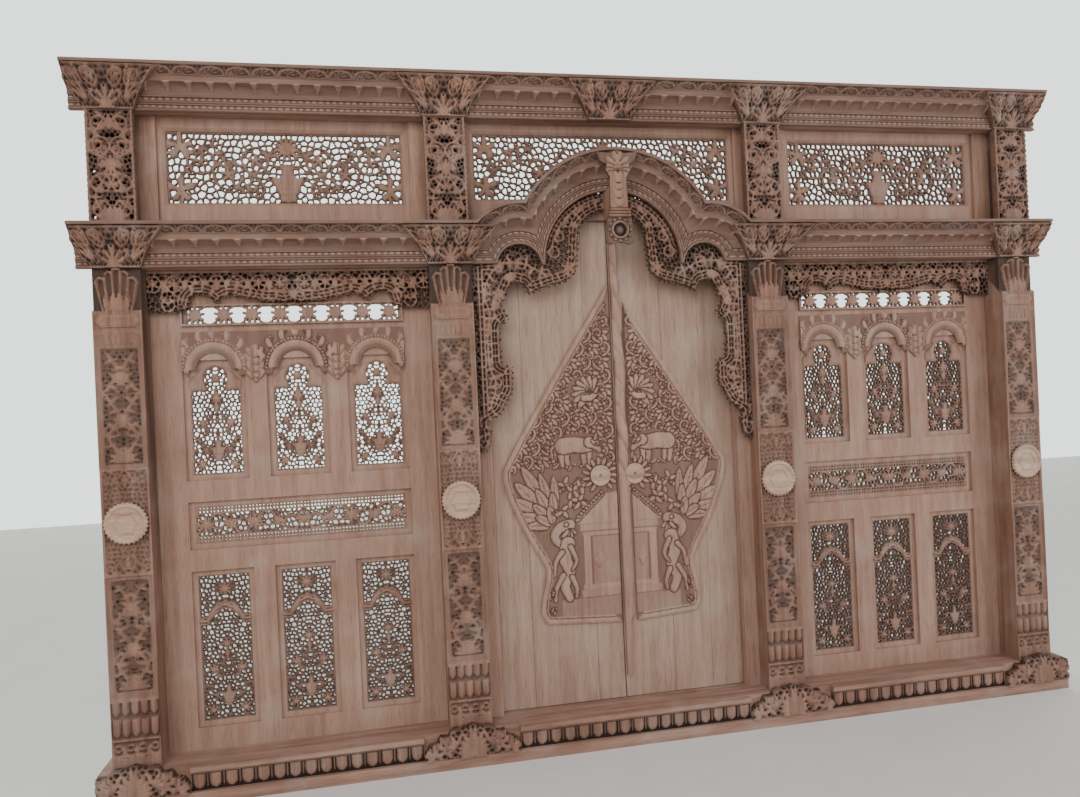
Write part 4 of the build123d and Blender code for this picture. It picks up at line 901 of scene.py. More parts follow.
# Window panels of the side bays: thin boards pierced right through, set in the stepped recesses of the frame.
# Three tall ones with lobed heads stand over a long lattice and three low ones with a raised arch.
def grille(name, x, low, high, kind, front, back):
    """A window panel; a tall one ends in a lobed head, a low one has an arch across it."""
    half = 0.0975
    tall = high - low
    carve = Carving(x - half, x + half, low, high, 0.0035)
    carve.lace(0.0170, 0.0044, 0.005, 41 if kind == "tall" else 42)
    top = 1.0 if kind == "tall" else 0.74
    for a, b, radius, petals in ((0, 0.70, 0.021, 8), (0.054, 0.47, 0.019, 7), (0.062, 0.09, 0.019, 7)):
        carve.flower(x + a, low + b * top * tall, radius, petals, 0.009)
        carve.dot(x + a, low + b * top * tall, 0.55 * radius, 0.008)
    carve.leaf(x, low + 0.66 * top * tall, -90, 0.045, 0.022, 0, 0.009)
    crown(carve, x, low + 0.12 * top * tall, 0.030, 0.085, 0.009)
    stem = ((0.03, 0.18), (0.07, 0.3), (0.03, 0.42), (0.012, 0.58))
    carve.vine([(x + a, low + b * top * tall) for a, b in stem], 0.0024, 0.022, 0.05, 0.007)
    if kind == "tall":
        outline = [(half, 0), (half, tall - 0.062), (0.0515, tall - 0.014), (0, tall)]
        outline = [(x + a, low + b) for a, b in outline] + [(x - a, low + b) for a, b in outline[-2::-1]]
        shoulder = np.maximum(np.abs(carve.x - x) - half + 0.006, carve.z - high + 0.100)
        head = np.hypot(carve.x - x, carve.z - high + 0.054) - 0.046
        neck = np.maximum(np.abs(carve.x - x) - 0.036, np.abs(carve.z - high + 0.09) - 0.02)
        light = np.minimum(np.minimum(shoulder, head), neck)
        carve.wood = np.maximum(carve.wood, light)
        carve.rise = np.where(
            light > 0.006, 0.011, np.where(light > 0, np.maximum(carve.rise, 0.007), carve.rise)
        )
        carve.dot(x, high - 0.05, 0.014, 0.010)
    else:
        arch = low + 0.72 * tall
        line = [(half, -0.02), (0.066, -0.02), (0.058, 0), (0.03, 0.028), (0, 0.042)]
        line = [(-a, b) for a, b in line] + line[-2::-1]
        for rise, radius, height in ((0.0, 0.0055, 0.016), (0.013, 0.003, 0.011), (-0.012, 0.003, 0.011)):
            carve.band([(x + a, arch + b + rise) for a, b in line], radius, height, 0.0, "stem")
        carve.flower(x, low + 0.90 * tall, 0.022, 8, 0.010)
    carve.border(0.005, 0.005)
    carve.mirror()
    if kind == "tall":
        carve.clip(outline)
    return carve.piece(name, front, back, pierced_teak)


def lattice(name, x, half, low, high, front, back):
    """Two rows of small square holes along each edge, and leaves and rosettes between."""
    carve = Carving(x - half, x + half, low, high, 0.0038)
    carve.lace(0.020, 0.0048, 0.005, 51)
    inner = 0.030
    for z0, z1 in ((low, low + inner), (high - inner, high)):
        held = (carve.z >= z0) & (carve.z <= z1)
        holes = np.minimum(
            0.0042 - np.abs((np.abs(carve.x - x) / 0.0135) % 1 - 0.5) * 0.0135,
            0.0042 - np.abs(((carve.z - z0) / 0.015) % 1 - 0.5) * 0.015,
        )
        carve.wood = np.where(held, -holes, carve.wood)
        carve.rise = np.where(held, 0.005, carve.rise)
    middle = (low + high) / 2
    for k in range(5):
        carve.flower(x + 0.19 * k / 2, middle, 0.026 if k % 2 == 0 else 0.020, 8, 0.009)
        carve.ring(x + 0.095 * (k + 0.5), middle + (0.012 if k % 2 else -0.012), 0.030, 0.0034, 0.007)
    for level in (low + inner, high - inner):
        carve.band([(x - half, level), (x + half, level)], 0.0028, 0.007)
    carve.border(0.005, 0.005)
    carve.mirror()
    return carve.piece(name, front, back, pierced_teak)


bay_centre, window_pitch = 1.3325, 0.318
front, back = 0.044, 0.056
for side, node in ((-1, "bay_grilles_left"), (1, "bay_grilles_right")):
    centre = side * bay_centre
    pieces = [lattice(node + "_lattice", centre, 0.4155, 0.952, 1.100, front, back)]
    for number, column in enumerate((-1, 0, 1)):
        x = centre + column * window_pitch
        pieces.append(grille(f"{node}_tall_{number}", x, 1.226, 1.662, "tall", front, back))
        pieces.append(grille(f"{node}_low_{number}", x, 0.247, 0.825, "low", front, back))
    for piece in pieces:
        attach(piece, "frame")
        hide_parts(node)


# Side valances: a scalloped board under the beam in each bay, pierced with leaves, with a leafy fringe. Its
# lower edge repeats the ladder of fillets and blocks of the door valance.
def ladder(carve, inside, along, free, fringe, pitch):
    """Three fillets with short rungs in a fringe of small leaves; the low gaps between take painted shade."""
    band = (inside > 0.0135) & (inside < 0.049) & free
    rails = np.minimum(np.abs(inside - 0.0165), np.minimum(np.abs(inside - 0.0310), np.abs(inside - 0.0460)))
    raised = (rails < 0.0031) | ((along / 0.026) % 1 < 0.24)
    carve.wood = np.where(band, np.maximum(carve.wood, 0.002), carve.wood)
    carve.rise = np.where(band, np.where(raised, 0.012, 0.0), carve.rise)
    edge = fringe * (1 + np.cos(along * math.tau / pitch))
    carve.wood = np.where(free, np.minimum(carve.wood, inside - edge), carve.wood)


side_edge = (
    (0, 0.8), (0.06, 0.86), (0.12, 0.81), (0.2, 0.8), (0.3, 0.74), (0.4, 0.66), (0.46, 0.66), (0.5, 0.74),
    (0.53, 0.86), (0.56, 0.74), (0.6, 0.64), (0.66, 0.61), (0.7, 0.68), (0.725, 0.96), (0.8, 1), (1, 1),
)
for side, node in ((-1, "side_valance_left"), (1, "side_valance_right")):
    low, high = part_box(node)
    x, half, drop = (low.x + high.x) / 2, (high.x - low.x) / 2, high.z - low.z
    edge = through([(x + a * half, high.z - b * drop) for a, b in side_edge], 3)
    outline = [tuple(q) for q in edge] + [(x + half, high.z)]
    outline += [(2 * x - a, b) for a, b in outline[::-1]]
    carve = Carving(low.x, high.x, low.z, high.z, 0.0040)
    carve.lace(0.0215, 0.0050, 0.006, 61)
    for k in range(7):
        at = x + half * (0.09 + 0.145 * k)
        level = high.z - 0.055
        carve.ring(at, level, 0.031, 0.0030, 0.010)
        carve.flower(at, level, 0.019, 6, 0.011)
        carve.leaf(at + half * 0.072, level - 0.03, 90, 0.050, 0.024, 0, 0.011)
    for level in (0.105, 0.135):
        carve.ring(x + 0.86 * half, high.z - level, 0.024, 0.0030, 0.010)
    carve.band([(x, high.z - 0.006), (x + half, high.z - 0.006)], 0.006, 0.008)
    carve.mirror()
    inside, along = carve.clip(outline)
    lower_edge = (carve.z < high.z - 0.045) & (np.abs(carve.x - x) < 0.80 * half)
    ladder(carve, inside, along, lower_edge, 0.0045, 0.021)
    end_fringe = inside - 0.004 * (1 + np.cos(along * math.tau / 0.021))
    ends = (carve.z < high.z - 0.045) & ~lower_edge
    carve.wood = np.where(ends, np.minimum(carve.wood, end_fringe), carve.wood)
    carve.wood = np.where(ends & (inside < 0.012), np.maximum(carve.wood, end_fringe), carve.wood)
    carve.wood = np.where(
        carve.z > high.z - 0.012, np.maximum(carve.wood, np.minimum(inside, 0.004)), carve.wood
    )
    carve.wood[(carve.x < low.x + 0.004) | (carve.x > high.x - 0.004)] = -0.002
    piece = carve.piece(node + "_carved", low.y + 0.011, high.y, carved_teak)
    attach(piece, "frame")
    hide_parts(node)


# Door valance: two mirrored openwork boards that follow the arch and then run down the posts. A ladder of
# fillets and small blocks runs inside the leafy fringe.
drop, tip, arch_z, arch_r, door_half = 0.785, 1.252, 2.040, 0.300, 0.614
lobe_rise = arch_r - 0.082
valance_edge = []
for k in range(7):
    turn = math.radians(11 * k)
    valance_edge.append(
        (arch_r / 2 * math.sin(turn), arch_z + 0.45 * lobe_rise + 0.55 * lobe_rise * math.cos(turn))
    )
inner = (
    (0.256, 0.948), (0.324, 0.902), (0.485, 0.866), (0.612, 0.832), (0.651, 0.883), (0.717, 0.896),
    (0.792, 0.782), (0.744, 0.713), (0.806, 0.665), (0.806, 0.476), (0.736, 0.45), (0.738, 0.324),
    (0.829, 0.2), (0.922, 0.158), (0.888, 0.099), (0.912, 0.048), (0.941, 0),
)
valance_edge += [(a * door_half, tip + b * drop) for a, b in inner]
valance_edge += [(door_half, tip), (door_half, 2.059)]
shoulder_x, shoulder_z, shoulder_r = 0.410, 2.023, 0.094
valance_edge += [around(shoulder_x, shoulder_z, 0.116, angle) for angle in (20, 45, 70, 95, 120)]
valance_edge += [around(0, arch_z, 0.322, 16 + 7 * k) for k in range(11)] + [(0, arch_z + 0.322)]


def mirrored(thing, name):
    """A copy for the other side of the door, turned over left to right."""
    mesh = thing.data.copy()
    mesh.transform(Matrix.Diagonal((-1, 1, 1, 1)))
    mesh.flip_normals()
    copy = bpy.data.objects.new(name, mesh)
    bpy.context.scene.collection.objects.link(copy)
    return copy


low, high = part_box("door_valance_right")
carve = Carving(0.0, door_half, tip, high.z, 0.0040, whole=True)
carve.lace(0.0190, 0.0060, 0.006, 71)
for angle in range(10, 90, 16):
    x, z = around(0, arch_z, 0.262, angle)
    carve.ring(x, z, 0.024, 0.0042, 0.011)
    carve.scroll(x, z - 0.02, angle, 0.018, 1, 0.012)
    carve.leaf(x, z, angle + 60, 0.05, 0.02, 50, 0.012)
runs = [(0.30, 1.99), (0.40, 2.04), (0.50, 2.03), (0.56, 1.93), (0.545, 1.83), (0.555, 1.74), (0.555, 1.62),
        (0.53, 1.54), (0.55, 1.46), (0.58, 1.38), (0.59, 1.30)]
carve.vine(runs, 0.005, 0.042, 0.036, 0.012)
for k, (x, z) in enumerate(through(runs, 2)[::2]):
    carve.ring(x, z, 0.023, 0.0042, 0.011)
    carve.dot(x, z, 0.008, 0.012)
inside, along = carve.clip(valance_edge)
free = ~((carve.x > door_half - 0.02) | ((carve.z > 2.06) & (np.hypot(carve.x, carve.z - arch_z) > 0.30)))
ladder(carve, inside, along, free, 0.0055, 0.024)
edge_band = (inside > 0) & (inside < 0.010) & ~free
carve.wood = np.where(edge_band, np.maximum(carve.wood, inside), carve.wood)
carve.flower(0.20, 2.015, 0.026, 6, 0.015)
carve.flower(0.50, 1.905, 0.026, 6, 0.015)
carve.wood = np.minimum(carve.wood, inside + 0.002)
carve.wood[(carve.x > door_half - 0.001)] = -0.002
valance = carve.piece("door_valance_right_carved", low.y + 0.013, high.y, carved_teak)
other = mirrored(valance, "door_valance_left_carved")
for piece, node in ((valance, "door_valance_right"), (other, "door_valance_left")):
    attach(piece, "frame")
    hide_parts(node)


# Friezes over the windows: a board of three coved arches with leaves in the corners between them, and above
# it a strip of eight round flowers with the light coming through round them.
def arcade(name, centre, front, back):
    """Three coved arches side by side; the board is cut away under them."""
    pitch, spring, radius = window_pitch, 1.645, 0.066
    half = pitch + 0.1155
    x0, x1, z0, z1 = centre - half, centre + half, 1.585, 1.795
    edge = [(x0, z1), (x0, spring)]
    for column in (-1, 0, 1):
        x = centre + column * pitch
        edge += [(x - 0.096, spring - 0.03), (x - 0.092, spring), (x - radius, spring)]
        for k in range(13):
            turn = math.pi * (1 - k / 12)
            edge.append((x + radius * math.cos(turn), spring + radius * math.sin(turn)))
        edge += [(x + 0.092, spring), (x + 0.096, spring - 0.03)]
        if column < 1:
            middle = x + pitch / 2
            edge += [(middle - 0.04, spring - 0.022), (middle, z0), (middle + 0.04, spring - 0.022)]
    edge += [(x1, spring), (x1, z1)]
    carve = Carving(x0, x1, z0, z1, 0.0040, solid=True, base=0.0, bold=True)
    for column in (0, 1):
        x = centre + column * pitch
        for angle in (90, 66, 114, 42, 138, 20, 160):
            at = around(x, spring, 0.122, angle)
            side = 1 if angle < 90 else -1
            carve.scroll(around(*at, 0.012, angle)[0], at[1] + 0.012, angle, 0.018, side, 0.009, 0.0)
            carve.leaf(*at, angle, 0.045, 0.018, 60 * side, 0.009, 0.0)
    for middle in (centre + pitch / 2, centre + 1.36 * pitch):
        for level in (0.0, 0.03, 0.06, 0.09):
            for angle in (40, 140, 75, 105):
                lean = 30 if angle < 90 else -30
                carve.leaf(middle, spring - 0.045 + level, angle, 0.050, 0.017, lean, 0.010, 0.0)
        carve.dot(middle, spring - 0.05, 0.008, 0.011, 0.0)
    for column in (0, 1):
        x = centre + column * pitch
        away = np.hypot(carve.x - x, carve.z - spring)
        above = carve.z > spring - 0.001
        cove = above & (away < 0.099)
        hollow = -0.0018 + 0.0115 * np.clip((away - radius) / (0.099 - radius), 0, 1) ** 1.8
        carve.rise = np.where(cove, hollow, carve.rise)
        carve.rise = np.where(above & (np.abs(away - 0.103) < 0.0045), 0.009, carve.rise)
        carve.rise = np.where(above & (np.abs(away - 0.112) < 0.004), 0.001, carve.rise)
        for turn in np.linspace(0, math.pi, 27):
            carve.dot(x + 0.117 * math.cos(turn), spring + 0.117 * math.sin(turn), 0.0052, 0.010, 0.0)
    carve.mirror()
    carve.clip(edge)
    return carve.piece(name, front, back, relief_teak)


def flower_strip(name, centre, front, back):
    """Eight round flowers in a row, held by four short bars each, with the light between them."""
    half, z0, z1 = 0.4335, 1.819, 1.904
    carve = Carving(centre - half, centre + half, z0, z1, 0.0036)
    middle = (z0 + z1) / 2
    for k in range(4):
        x = centre + (k + 0.5) * 2 * half / 8
        carve.flower(x, middle, 0.032, 9, 0.008)
        carve.dot(x, middle, 0.023, 0.007)
        for angle in (45, 135, 225, 315):
            far = (around(x, middle, 0.062, angle)[0], around(x, middle, 0.05, angle)[1])
            carve.band([around(x, middle, 0.03, angle), far], 0.0026, 0.006)
    carve.border(0.009, 0.006)
    carve.mirror()
    return carve.piece(name, front, back, pierced_teak)


for side, node in ((-1, "bay_friezes_left"), (1, "bay_friezes_right")):
    low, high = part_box(node)
    arches = arcade(node + "_arches", side * bay_centre, low.y + 0.0115, high.y)
    flowers = flower_strip(node + "_flowers", side * bay_centre, low.y + 0.008, high.y)
    for piece in (arches, flowers):
        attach(piece, "frame")
        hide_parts(node)


# Door relief: one mountain in two halves, carved from thick boards on the leaves. Inside its double rim
# a tree grows between leaves; below stand a winged serpent on each side, a gate on a stepped base, rocks.
mountain = (
    (0, 1), (0.459, 0.762), (0.925, 0.508), (1, 0.432), (0.861, 0.299), (0.691, 0.191), (0.667, 0.151),
    (0.725, 0.057), (0.677, 0.013), (0, 0),
)


def on_mountain(a, b):
    return a * 0.505, 0.475 + b * 1.493


def mountain_half(name, start, face):
    """One half of the tree, drawn for the right leaf; start is where it begins beside the middle."""
    edge = through([on_mountain(a, b) for a, b in mountain[1:-1]], 4).tolist()
    edge = [(start, 0.475 + 1.493 * (1 - start / 0.505 * 0.52))] + edge + [(start, 0.475)]
    top = max(z for x, z in edge)
    carve = Carving(start, 0.506, 0.475, top, 0.0032, solid=True, base=0.0045, whole=True, bold=True)
    h = 0.0080
    for row in range(12):
        z = 1.195 + 0.060 * row
        reach = 0.470 * (1 - (z - 1.234) / 0.734)
        first = start + 0.006
        count = max(1, round((reach - first) / 0.062))
        for k in range(count):
            x = first + (reach - first) * (k + 0.5) / count + 0.010 * (row % 2)
            turn = 1 if (k + row) % 2 else -1
            size = 0.030 if z < 1.75 else 0.020
            for lean in (-80, -30, 50, 100, 150):
                carve.leaf(x, z, 90 + lean, 1.55 * size, 0.017, 60 * turn, h - 0.002)
            carve.stroke(
                curl(x, z - size, 90 - 70 * turn, 4.6 * size, 420 * turn, 0.8, 14), 0.0052, 0.0040, h
            )
            carve.dot(x, z, 0.0075, h + 0.001)
    for x, z, rx, rz in ((0.150, 1.500, 0.066, 0.062), (0.170, 1.245, 0.120, 0.076)):
        away = ((carve.x - x) / rx) ** 2 + ((carve.z - z) / rz) ** 2
        carve.rise = np.where(away < 0.8, 0.0045, carve.rise)
    for k in range(8):
        carve.leaf(0.112, 1.482, 118 - 24 * k, 0.078, 0.024, 0, h)
    carve.stroke([(0.080, 1.480), (0.105, 1.462), (0.135, 1.462)], 0.010, 0.014, 0.012)
    carve.stroke([(0.082, 1.488), (0.070, 1.508)], 0.007, 0.004, 0.011)
    for x, foot in ((0.122, 1.176), (0.146, 1.172), (0.222, 1.180), (0.246, 1.174)):
        carve.stroke([(x, 1.240), (x + 0.003, 1.208), (x - 0.002, foot)], 0.014, 0.009, 0.0060)
    carve.stroke([(0.268, 1.266), (0.292, 1.246), (0.288, 1.210)], 0.006, 0.004, 0.0070)
    carve.stroke(
        through([(0.118, 1.262), (0.150, 1.256), (0.190, 1.262), (0.238, 1.258)], 5), 0.030, 0.036, 0.0085
    )
    carve.stroke(through([(0.120, 1.268), (0.098, 1.258), (0.078, 1.232)], 4), 0.024, 0.010, 0.0092)
    carve.leaf(0.108, 1.275, 200, 0.034, 0.022, 30, 0.0092)
    carve.stroke([(0.094, 1.282), (0.086, 1.306)], 0.006, 0.003, 0.0080)
    carve.dot(0.090, 1.258, 0.004, 0.0093)
    wing = ((0.404, 1.190, 0.034), (0.440, 1.125, 0.036), (0.456, 1.055, 0.034), (0.440, 0.985, 0.030),
            (0.405, 0.930, 0.026),
            (0.330, 1.150, 0.026), (0.352, 1.085, 0.028), (0.372, 1.020, 0.026), (0.365, 0.965, 0.022),
            (0.270, 1.130, 0.024), (0.285, 1.060, 0.024), (0.305, 1.000, 0.022))
    for x, z, wide in wing:
        root = (0.298 + 0.16 * (x - 0.298), 0.915 + 0.16 * (z - 0.915))
        angle = math.degrees(math.atan2(z - root[1], x - root[0]))
        carve.leaf(root[0], root[1], angle, math.dist(root, (x, z)), 1.5 * wide, -14, h)
        quill = curl(root[0], root[1], angle, 0.9 * math.dist(root, (x, z)), -14, 0.5)
        off = np.min([to_stretch(carve.x, carve.z, a, b)[1] for a, b in zip(quill, quill[1:])], axis=0)
        carve.rise = np.where(off < 0.0017, 0.0045, carve.rise)
    clouds = ((0.235, 1.09), (0.20, 1.06), (0.165, 1.075), (0.215, 1.02), (0.175, 1.01), (0.255, 0.975))
    for k, (x, z) in enumerate(clouds):
        carve.scroll(x, z, 60 * k, 0.022, 1 if k % 2 else -1, h)
        for lean in (0, 90, 200):
            carve.leaf(x, z, lean + 25 * k, 0.036, 0.014, 40, h - 0.001)
    for angle in range(-60, 240, 24):
        carve.leaf(*around(0.078, 1.122, 0.046, angle), angle, 0.034, 0.012, 20, h - 0.001)
    gable = [(start, 1.046), (0.075, 1.040), (0.190, 0.935), (0.190, 0.915), (start, 0.915)]
    carve.board(gable, 0.0085)
    carve.stroke([(0.072, 1.040), (0.190, 0.932)], 0.007, 0.007, 0.0105)
    for k in range(10):
        carve.dot(0.076 + 0.0118 * k, 1.048 - 0.0110 * k, 0.0062, 0.0125)
    serpent = through([(0.225, 0.915), (0.268, 0.905), (0.292, 0.870), (0.270, 0.835), (0.236, 0.850)], 4)
    carve.stroke(serpent, 0.024, 0.010, 0.0115)
    carve.dot(0.240, 0.918, 0.009, 0.0135)
    for angle in (200, 235, 270, 305):
        carve.leaf(0.232, 0.895, angle, 0.042, 0.014, 20, h)
    gate = (
        (start, 0.178, 0.882, 0.915, 0.0105), (start, 0.170, 0.862, 0.880, 0.0090),
        (0.134, 0.166, 0.648, 0.862, 0.0110), (start, 0.126, 0.650, 0.858, 0.0075),
        (start, 0.172, 0.628, 0.648, 0.0100), (start, 0.182, 0.596, 0.626, 0.0085),
        (start, 0.270, 0.510, 0.592, 0.0070),
    )
    for plate in gate:
        carve.plate(*plate)
    for half, level in ((0.022, 0.0095), (0.012, 0.0120)):
        ends = ((0, -1.7), (1, 0), (0, 1.7), (-1, 0))
        carve.board([(0.098 + a * half, 0.755 + b * half) for a, b in ends], level)
    guard = through([(0.235, 0.835), (0.252, 0.775), (0.232, 0.715), (0.256, 0.655), (0.238, 0.600)], 4)
    carve.stroke(guard, 0.030, 0.017, 0.0100)
    limbs = (
        [(0.225, 0.820), (0.200, 0.760), (0.222, 0.720)],
        [(0.262, 0.800), (0.292, 0.760), (0.300, 0.700)],
        [(0.262, 0.700), (0.296, 0.640), (0.300, 0.590)],
        [(0.224, 0.690), (0.204, 0.640), (0.208, 0.600)],
    )
    for limb in limbs:
        carve.stroke(through(limb, 3), 0.011, 0.005, 0.0095)
    rocks = ((0.300, 0.560), (0.322, 0.600), (0.318, 0.528), (0.290, 0.505), (0.324, 0.650))
    for k, (x, z) in enumerate(rocks):
        carve.scroll(x, z, 70 * k, 0.015, 1 if k % 2 else -1, 0.0085)
    inside = carve.clip(edge)[0]
    kept = np.maximum(carve.wood, np.minimum(carve.wood + 0.004, 0.004))
    carve.wood = np.where(carve.x < start + 0.004, kept, carve.wood)
    outer = np.where(inside < carve.x - start - 0.0005, inside, 9)
    rim = (outer < 0.030)
    ridge = np.where(outer < 0.021, 0.0135, np.where(outer > 0.0245, 0.0105, 0.0030))
    ridge = ridge - 0.004 * (outer < 0.004)
    carve.rise = np.minimum(np.where(rim, ridge, carve.rise), 0.0138)
    return carve.piece(name, face, face, relief_teak)


leaf_face = 0.034
for side, node, body in ((1, "door_relief_right", "door_right"), (-1, "door_relief_left", "door_left")):
    low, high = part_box(node)
    start = low.x if side > 0 else -high.x
    piece = mountain_half(node + "_carved", start, leaf_face)
    if side < 0:
        mesh = piece.data
        mesh.transform(Matrix.Diagonal((-1, 1, 1, 1)))
        mesh.flip_normals()
    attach(piece, body)
    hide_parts(node)


# The trunk of the tree: a strip fixed on the right leaf along the meeting of the leaves. It is round and
# twisted like bark in its middle, with roots below, and ends in a plain moulding.
low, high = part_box("door_trunk")
x0 = low.x
levels = (
    (2.231, 0.45), (1.905, 0.48), (1.87, 1.0), (1.30, 1.0), (1.18, 0.83), (1.09, 1.0), (1.04, 0.79),
    (0.51, 0.79), (0.49, 0.38), (0.241, 0.28),
)
full = high.x - low.x
outline = [(x0, levels[-1][0]), (x0, levels[0][0])] + [(x0 + full * a, z) for z, a in levels]
carve = Carving(x0, high.x, levels[-1][0], levels[0][0], 0.0036, solid=True, base=0.010, whole=True)
pole = 0.40 * full
across = (carve.x - x0 - pole) / (1.12 * pole)
bark = np.sin((carve.z + 1.6 * (carve.x - x0)) * math.tau / 0.150)
bark = bark + 0.4 * np.sin((carve.z * 2.3 - carve.x) * math.tau / 0.11)
twisted = np.clip((carve.z - 1.09) / 0.05, 0, 1) * np.clip((2.231 - carve.z) / 0.05, 0, 1)
shift = 0.16 * np.sin(carve.z * math.tau / 0.30) * twisted
body = np.sqrt(np.clip(1 - (across - shift) ** 2, 0, 1))
groove = np.exp(-(((((carve.z + 1.9 * (carve.x - x0)) / 0.125) % 1 - 0.5) * 8) ** 2))
carve.rise = 0.006 + 0.0185 * body * (1 - 0.45 * twisted * groove) + 0.0012 * twisted * bark
carve.rise = np.clip(carve.rise, 0.006, 0.0275)
for k in range(5):
    carve.leaf(x0 + 0.012, 1.09 - 0.008 * k, 60 - 30 * k, 0.05, 0.014, 30, 0.016, 0.010)
carve.clip(outline)
disc_gap = np.hypot(carve.x - 0.078, carve.z - 1.122) - 0.046
carve.wood = np.minimum(carve.wood, disc_gap)
trunk = carve.piece("door_trunk_carved", leaf_face, leaf_face, relief_teak)
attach(trunk, "door_right")
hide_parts("door_trunk")


# Discs: one turned boss of paler teak on each leaf, made for a ring pull. It has a sunk face and a raised
# knob with a bore, and is pegged to the ground of the relief.
disc = [
    (0.043, 0.0), (0.045, 0.004), (0.045, 0.010), (0.042, 0.0125), (0.039, 0.0125), (0.0365, 0.0095),
    (0.029, 0.0090), (0.026, 0.0105), (0.023, 0.0128), (0.012, 0.0128), (0.0075, 0.0120), (0.006, 0.010),
    (0.006, 0.002),
]
for side, name, body in ((-1, "left", "door_left"), (1, "right", "door_right")):
    piece = lathe_grid(
        f"door_disc_{name}_turned", (side * 0.078, 0.028, 1.122), disc, medallion_teak, count=64
    )
    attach(piece, body)
    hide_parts(f"door_disc_{name}")


# Cornices: a moulding planed and carved on a board, one over each bay, one along the top, and one that runs
# over the door in three arches. Beads lie in two rows, buds hang in the cove, and leaves run along the top.
cornice_rows = (
    (0, 16), (3, 21), (9, 21), (11, 16), (14, 16), (17, 16), (20, 16), (23, 16), (25, 21), (29, 21),
    (31, 17), (34, 22), (38, 22), (40, 17), (43, 17), (46, 17), (49, 17), (52, 17), (54, 24), (59, 25),
    (61, 23), (65, 23), (69, 24), (73, 26.5), (77, 30), (80, 33), (83, 37), (86, 41), (89, 46), (92, 52),
    (94.5, 58), (96, 65), (97, 69), (102, 70), (111, 70), (117, 70), (119, 74), (122, 77), (126, 82),
    (130, 86), (134, 90), (138, 93), (142, 96), (146, 98), (148, 100), (149, 105), (151.5, 106),
    (156, 106), (160, 106), (162, 103),
)
row_height, row_out = np.array(cornice_rows).T / 1000
row_step = 0.005
beam_face = -0.060
pitches = (0.026, 0.080, 0.095)


def cornice_relief(along, rows, beads, buds, leaves):
    """How far the ornament stands out, from the share of the run and the row of the moulding."""
    height = np.interp(rows, np.arange(len(row_height)) * row_step, row_height) * 1000
    rise = np.full(height.shape, 0.006)
    dx = ((along * beads) % 1 - 0.5) * 26
    for level in (17, 46):
        bead = np.sqrt(np.clip(1 - (dx / 10.5) ** 2 - ((height - level) / 6.5) ** 2, 0, 1))
        rise = np.where(np.abs(height - level) < 6.5, 0.0045 + 0.0065 * bead, rise)
    dx = ((along * buds) % 1 - 0.5) * 80
    width = np.clip((height - 79) * 0.85, 0.01, 15)
    bud = np.clip(1 - np.abs(dx) / width, 0, 1) * (height > 79) * (height < 98)
    rise = rise + 0.010 * bud**0.6 + 0.003 * (np.abs(dx) < 5) * (height > 74) * (height < 82)
    u = (along * leaves) % 1 - 0.5
    inside_band = (height > 120) & (height < 147)
    far = np.hypot(u * 2.05, (height - 121) / 25)
    ridge = np.exp(-(((far - 0.92) / 0.13) ** 2))
    veins = 0.5 + 0.5 * np.cos(np.arctan2((height - 119) / 25, u * 2.05 + 0.5) * 17)
    leaf = np.where(far < 0.8, 0.0015 + 0.005 * veins * (0.5 + 0.5 * (u < 0.2)), 0.0)
    corner = np.where(far > 1.12, 0.004 * (0.5 + 0.5 * np.cos((np.abs(u) - 0.5) * 40)), 0.0)
    return np.where(inside_band, np.maximum(np.maximum(leaf, corner), 0.0078 * ridge), rise)


def row_place(rows, rise):
    """Height and reach of a point on the moulding, with its rise set off square to the moulding."""
    at = np.arange(len(row_height)) * row_step
    dh, dout = np.gradient(row_height), np.gradient(row_out)
    length = np.hypot(dh, dout)
    nh, nout = np.interp(rows, at, -dout / length), np.interp(rows, at, dh / length)
    height = np.interp(rows, at, row_height) + (rise - 0.006) * nh
    out = np.interp(rows, at, row_out) + (rise - 0.006) * nout
    return np.clip(height, 0, 0.162), np.clip(out, 0.001, 0.106), np.interp(rows, at, row_height)


def cornice_run(name, x0, x1, base):
    """A straight length of the moulding, standing on its base line."""
    carve = Carving(x0, x1, 0, row_step * (len(cornice_rows) - 1), row_step, solid=True)
    length = x1 - x0
    share = (carve.x - x0) / length
    repeats = [round(length / size) for size in pitches]
    carve.rise = cornice_relief(share, carve.z, *repeats)

    def place(x, rows, rise):
        height, out, flat = row_place(rows, rise)
        near = np.stack([x, beam_face - out, base + height], 1)
        far = np.stack([x, np.full(len(x), beam_face), base + flat], 1)
        return near, far

    return carve.piece(name, 0, 0, cornice_teak, place, soften=0)


# The cornice's hollow colour is painted shade in the cove and between the beads, buds and leaves.
cornice_teak = teak("cornice_teak", "X", light=(172, 140, 122), dark=(134, 100, 84), hollow=(58, 36, 30))
for node in ("lower_cornice_left", "lower_cornice_right", "top_cornice"):
    low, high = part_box(node)
    base = 2.638 if node == "top_cornice" else 2.037
    run = cornice_run(node + "_moulding", low.x + 0.0007, high.x - 0.0007, base)
    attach(run, "frame")
    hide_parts(node)


def arch_cut(height):
    """The angles where the arcs of the moulding meet at this height: the shoulder's end and the valley."""
    crown, shoulder = arch_r + height, shoulder_r + height
    rise = arch_z - 0.003 + height - shoulder_z
    start = np.arcsin(np.clip(rise / shoulder, -1, 1))
    dx, dz = shoulder_x, shoulder_z - arch_z
    apart = math.hypot(dx, dz)
    near = (apart**2 + crown**2 - shoulder**2) / (2 * apart)
    off = np.sqrt(np.clip(crown**2 - near**2, 1e-9, None))
    x = near * dx / apart - off * dz / apart
    z = arch_z + near * dz / apart + off * dx / apart
    return start, np.arctan2(z - shoulder_z, x - shoulder_x), np.arctan2(z - arch_z, x)


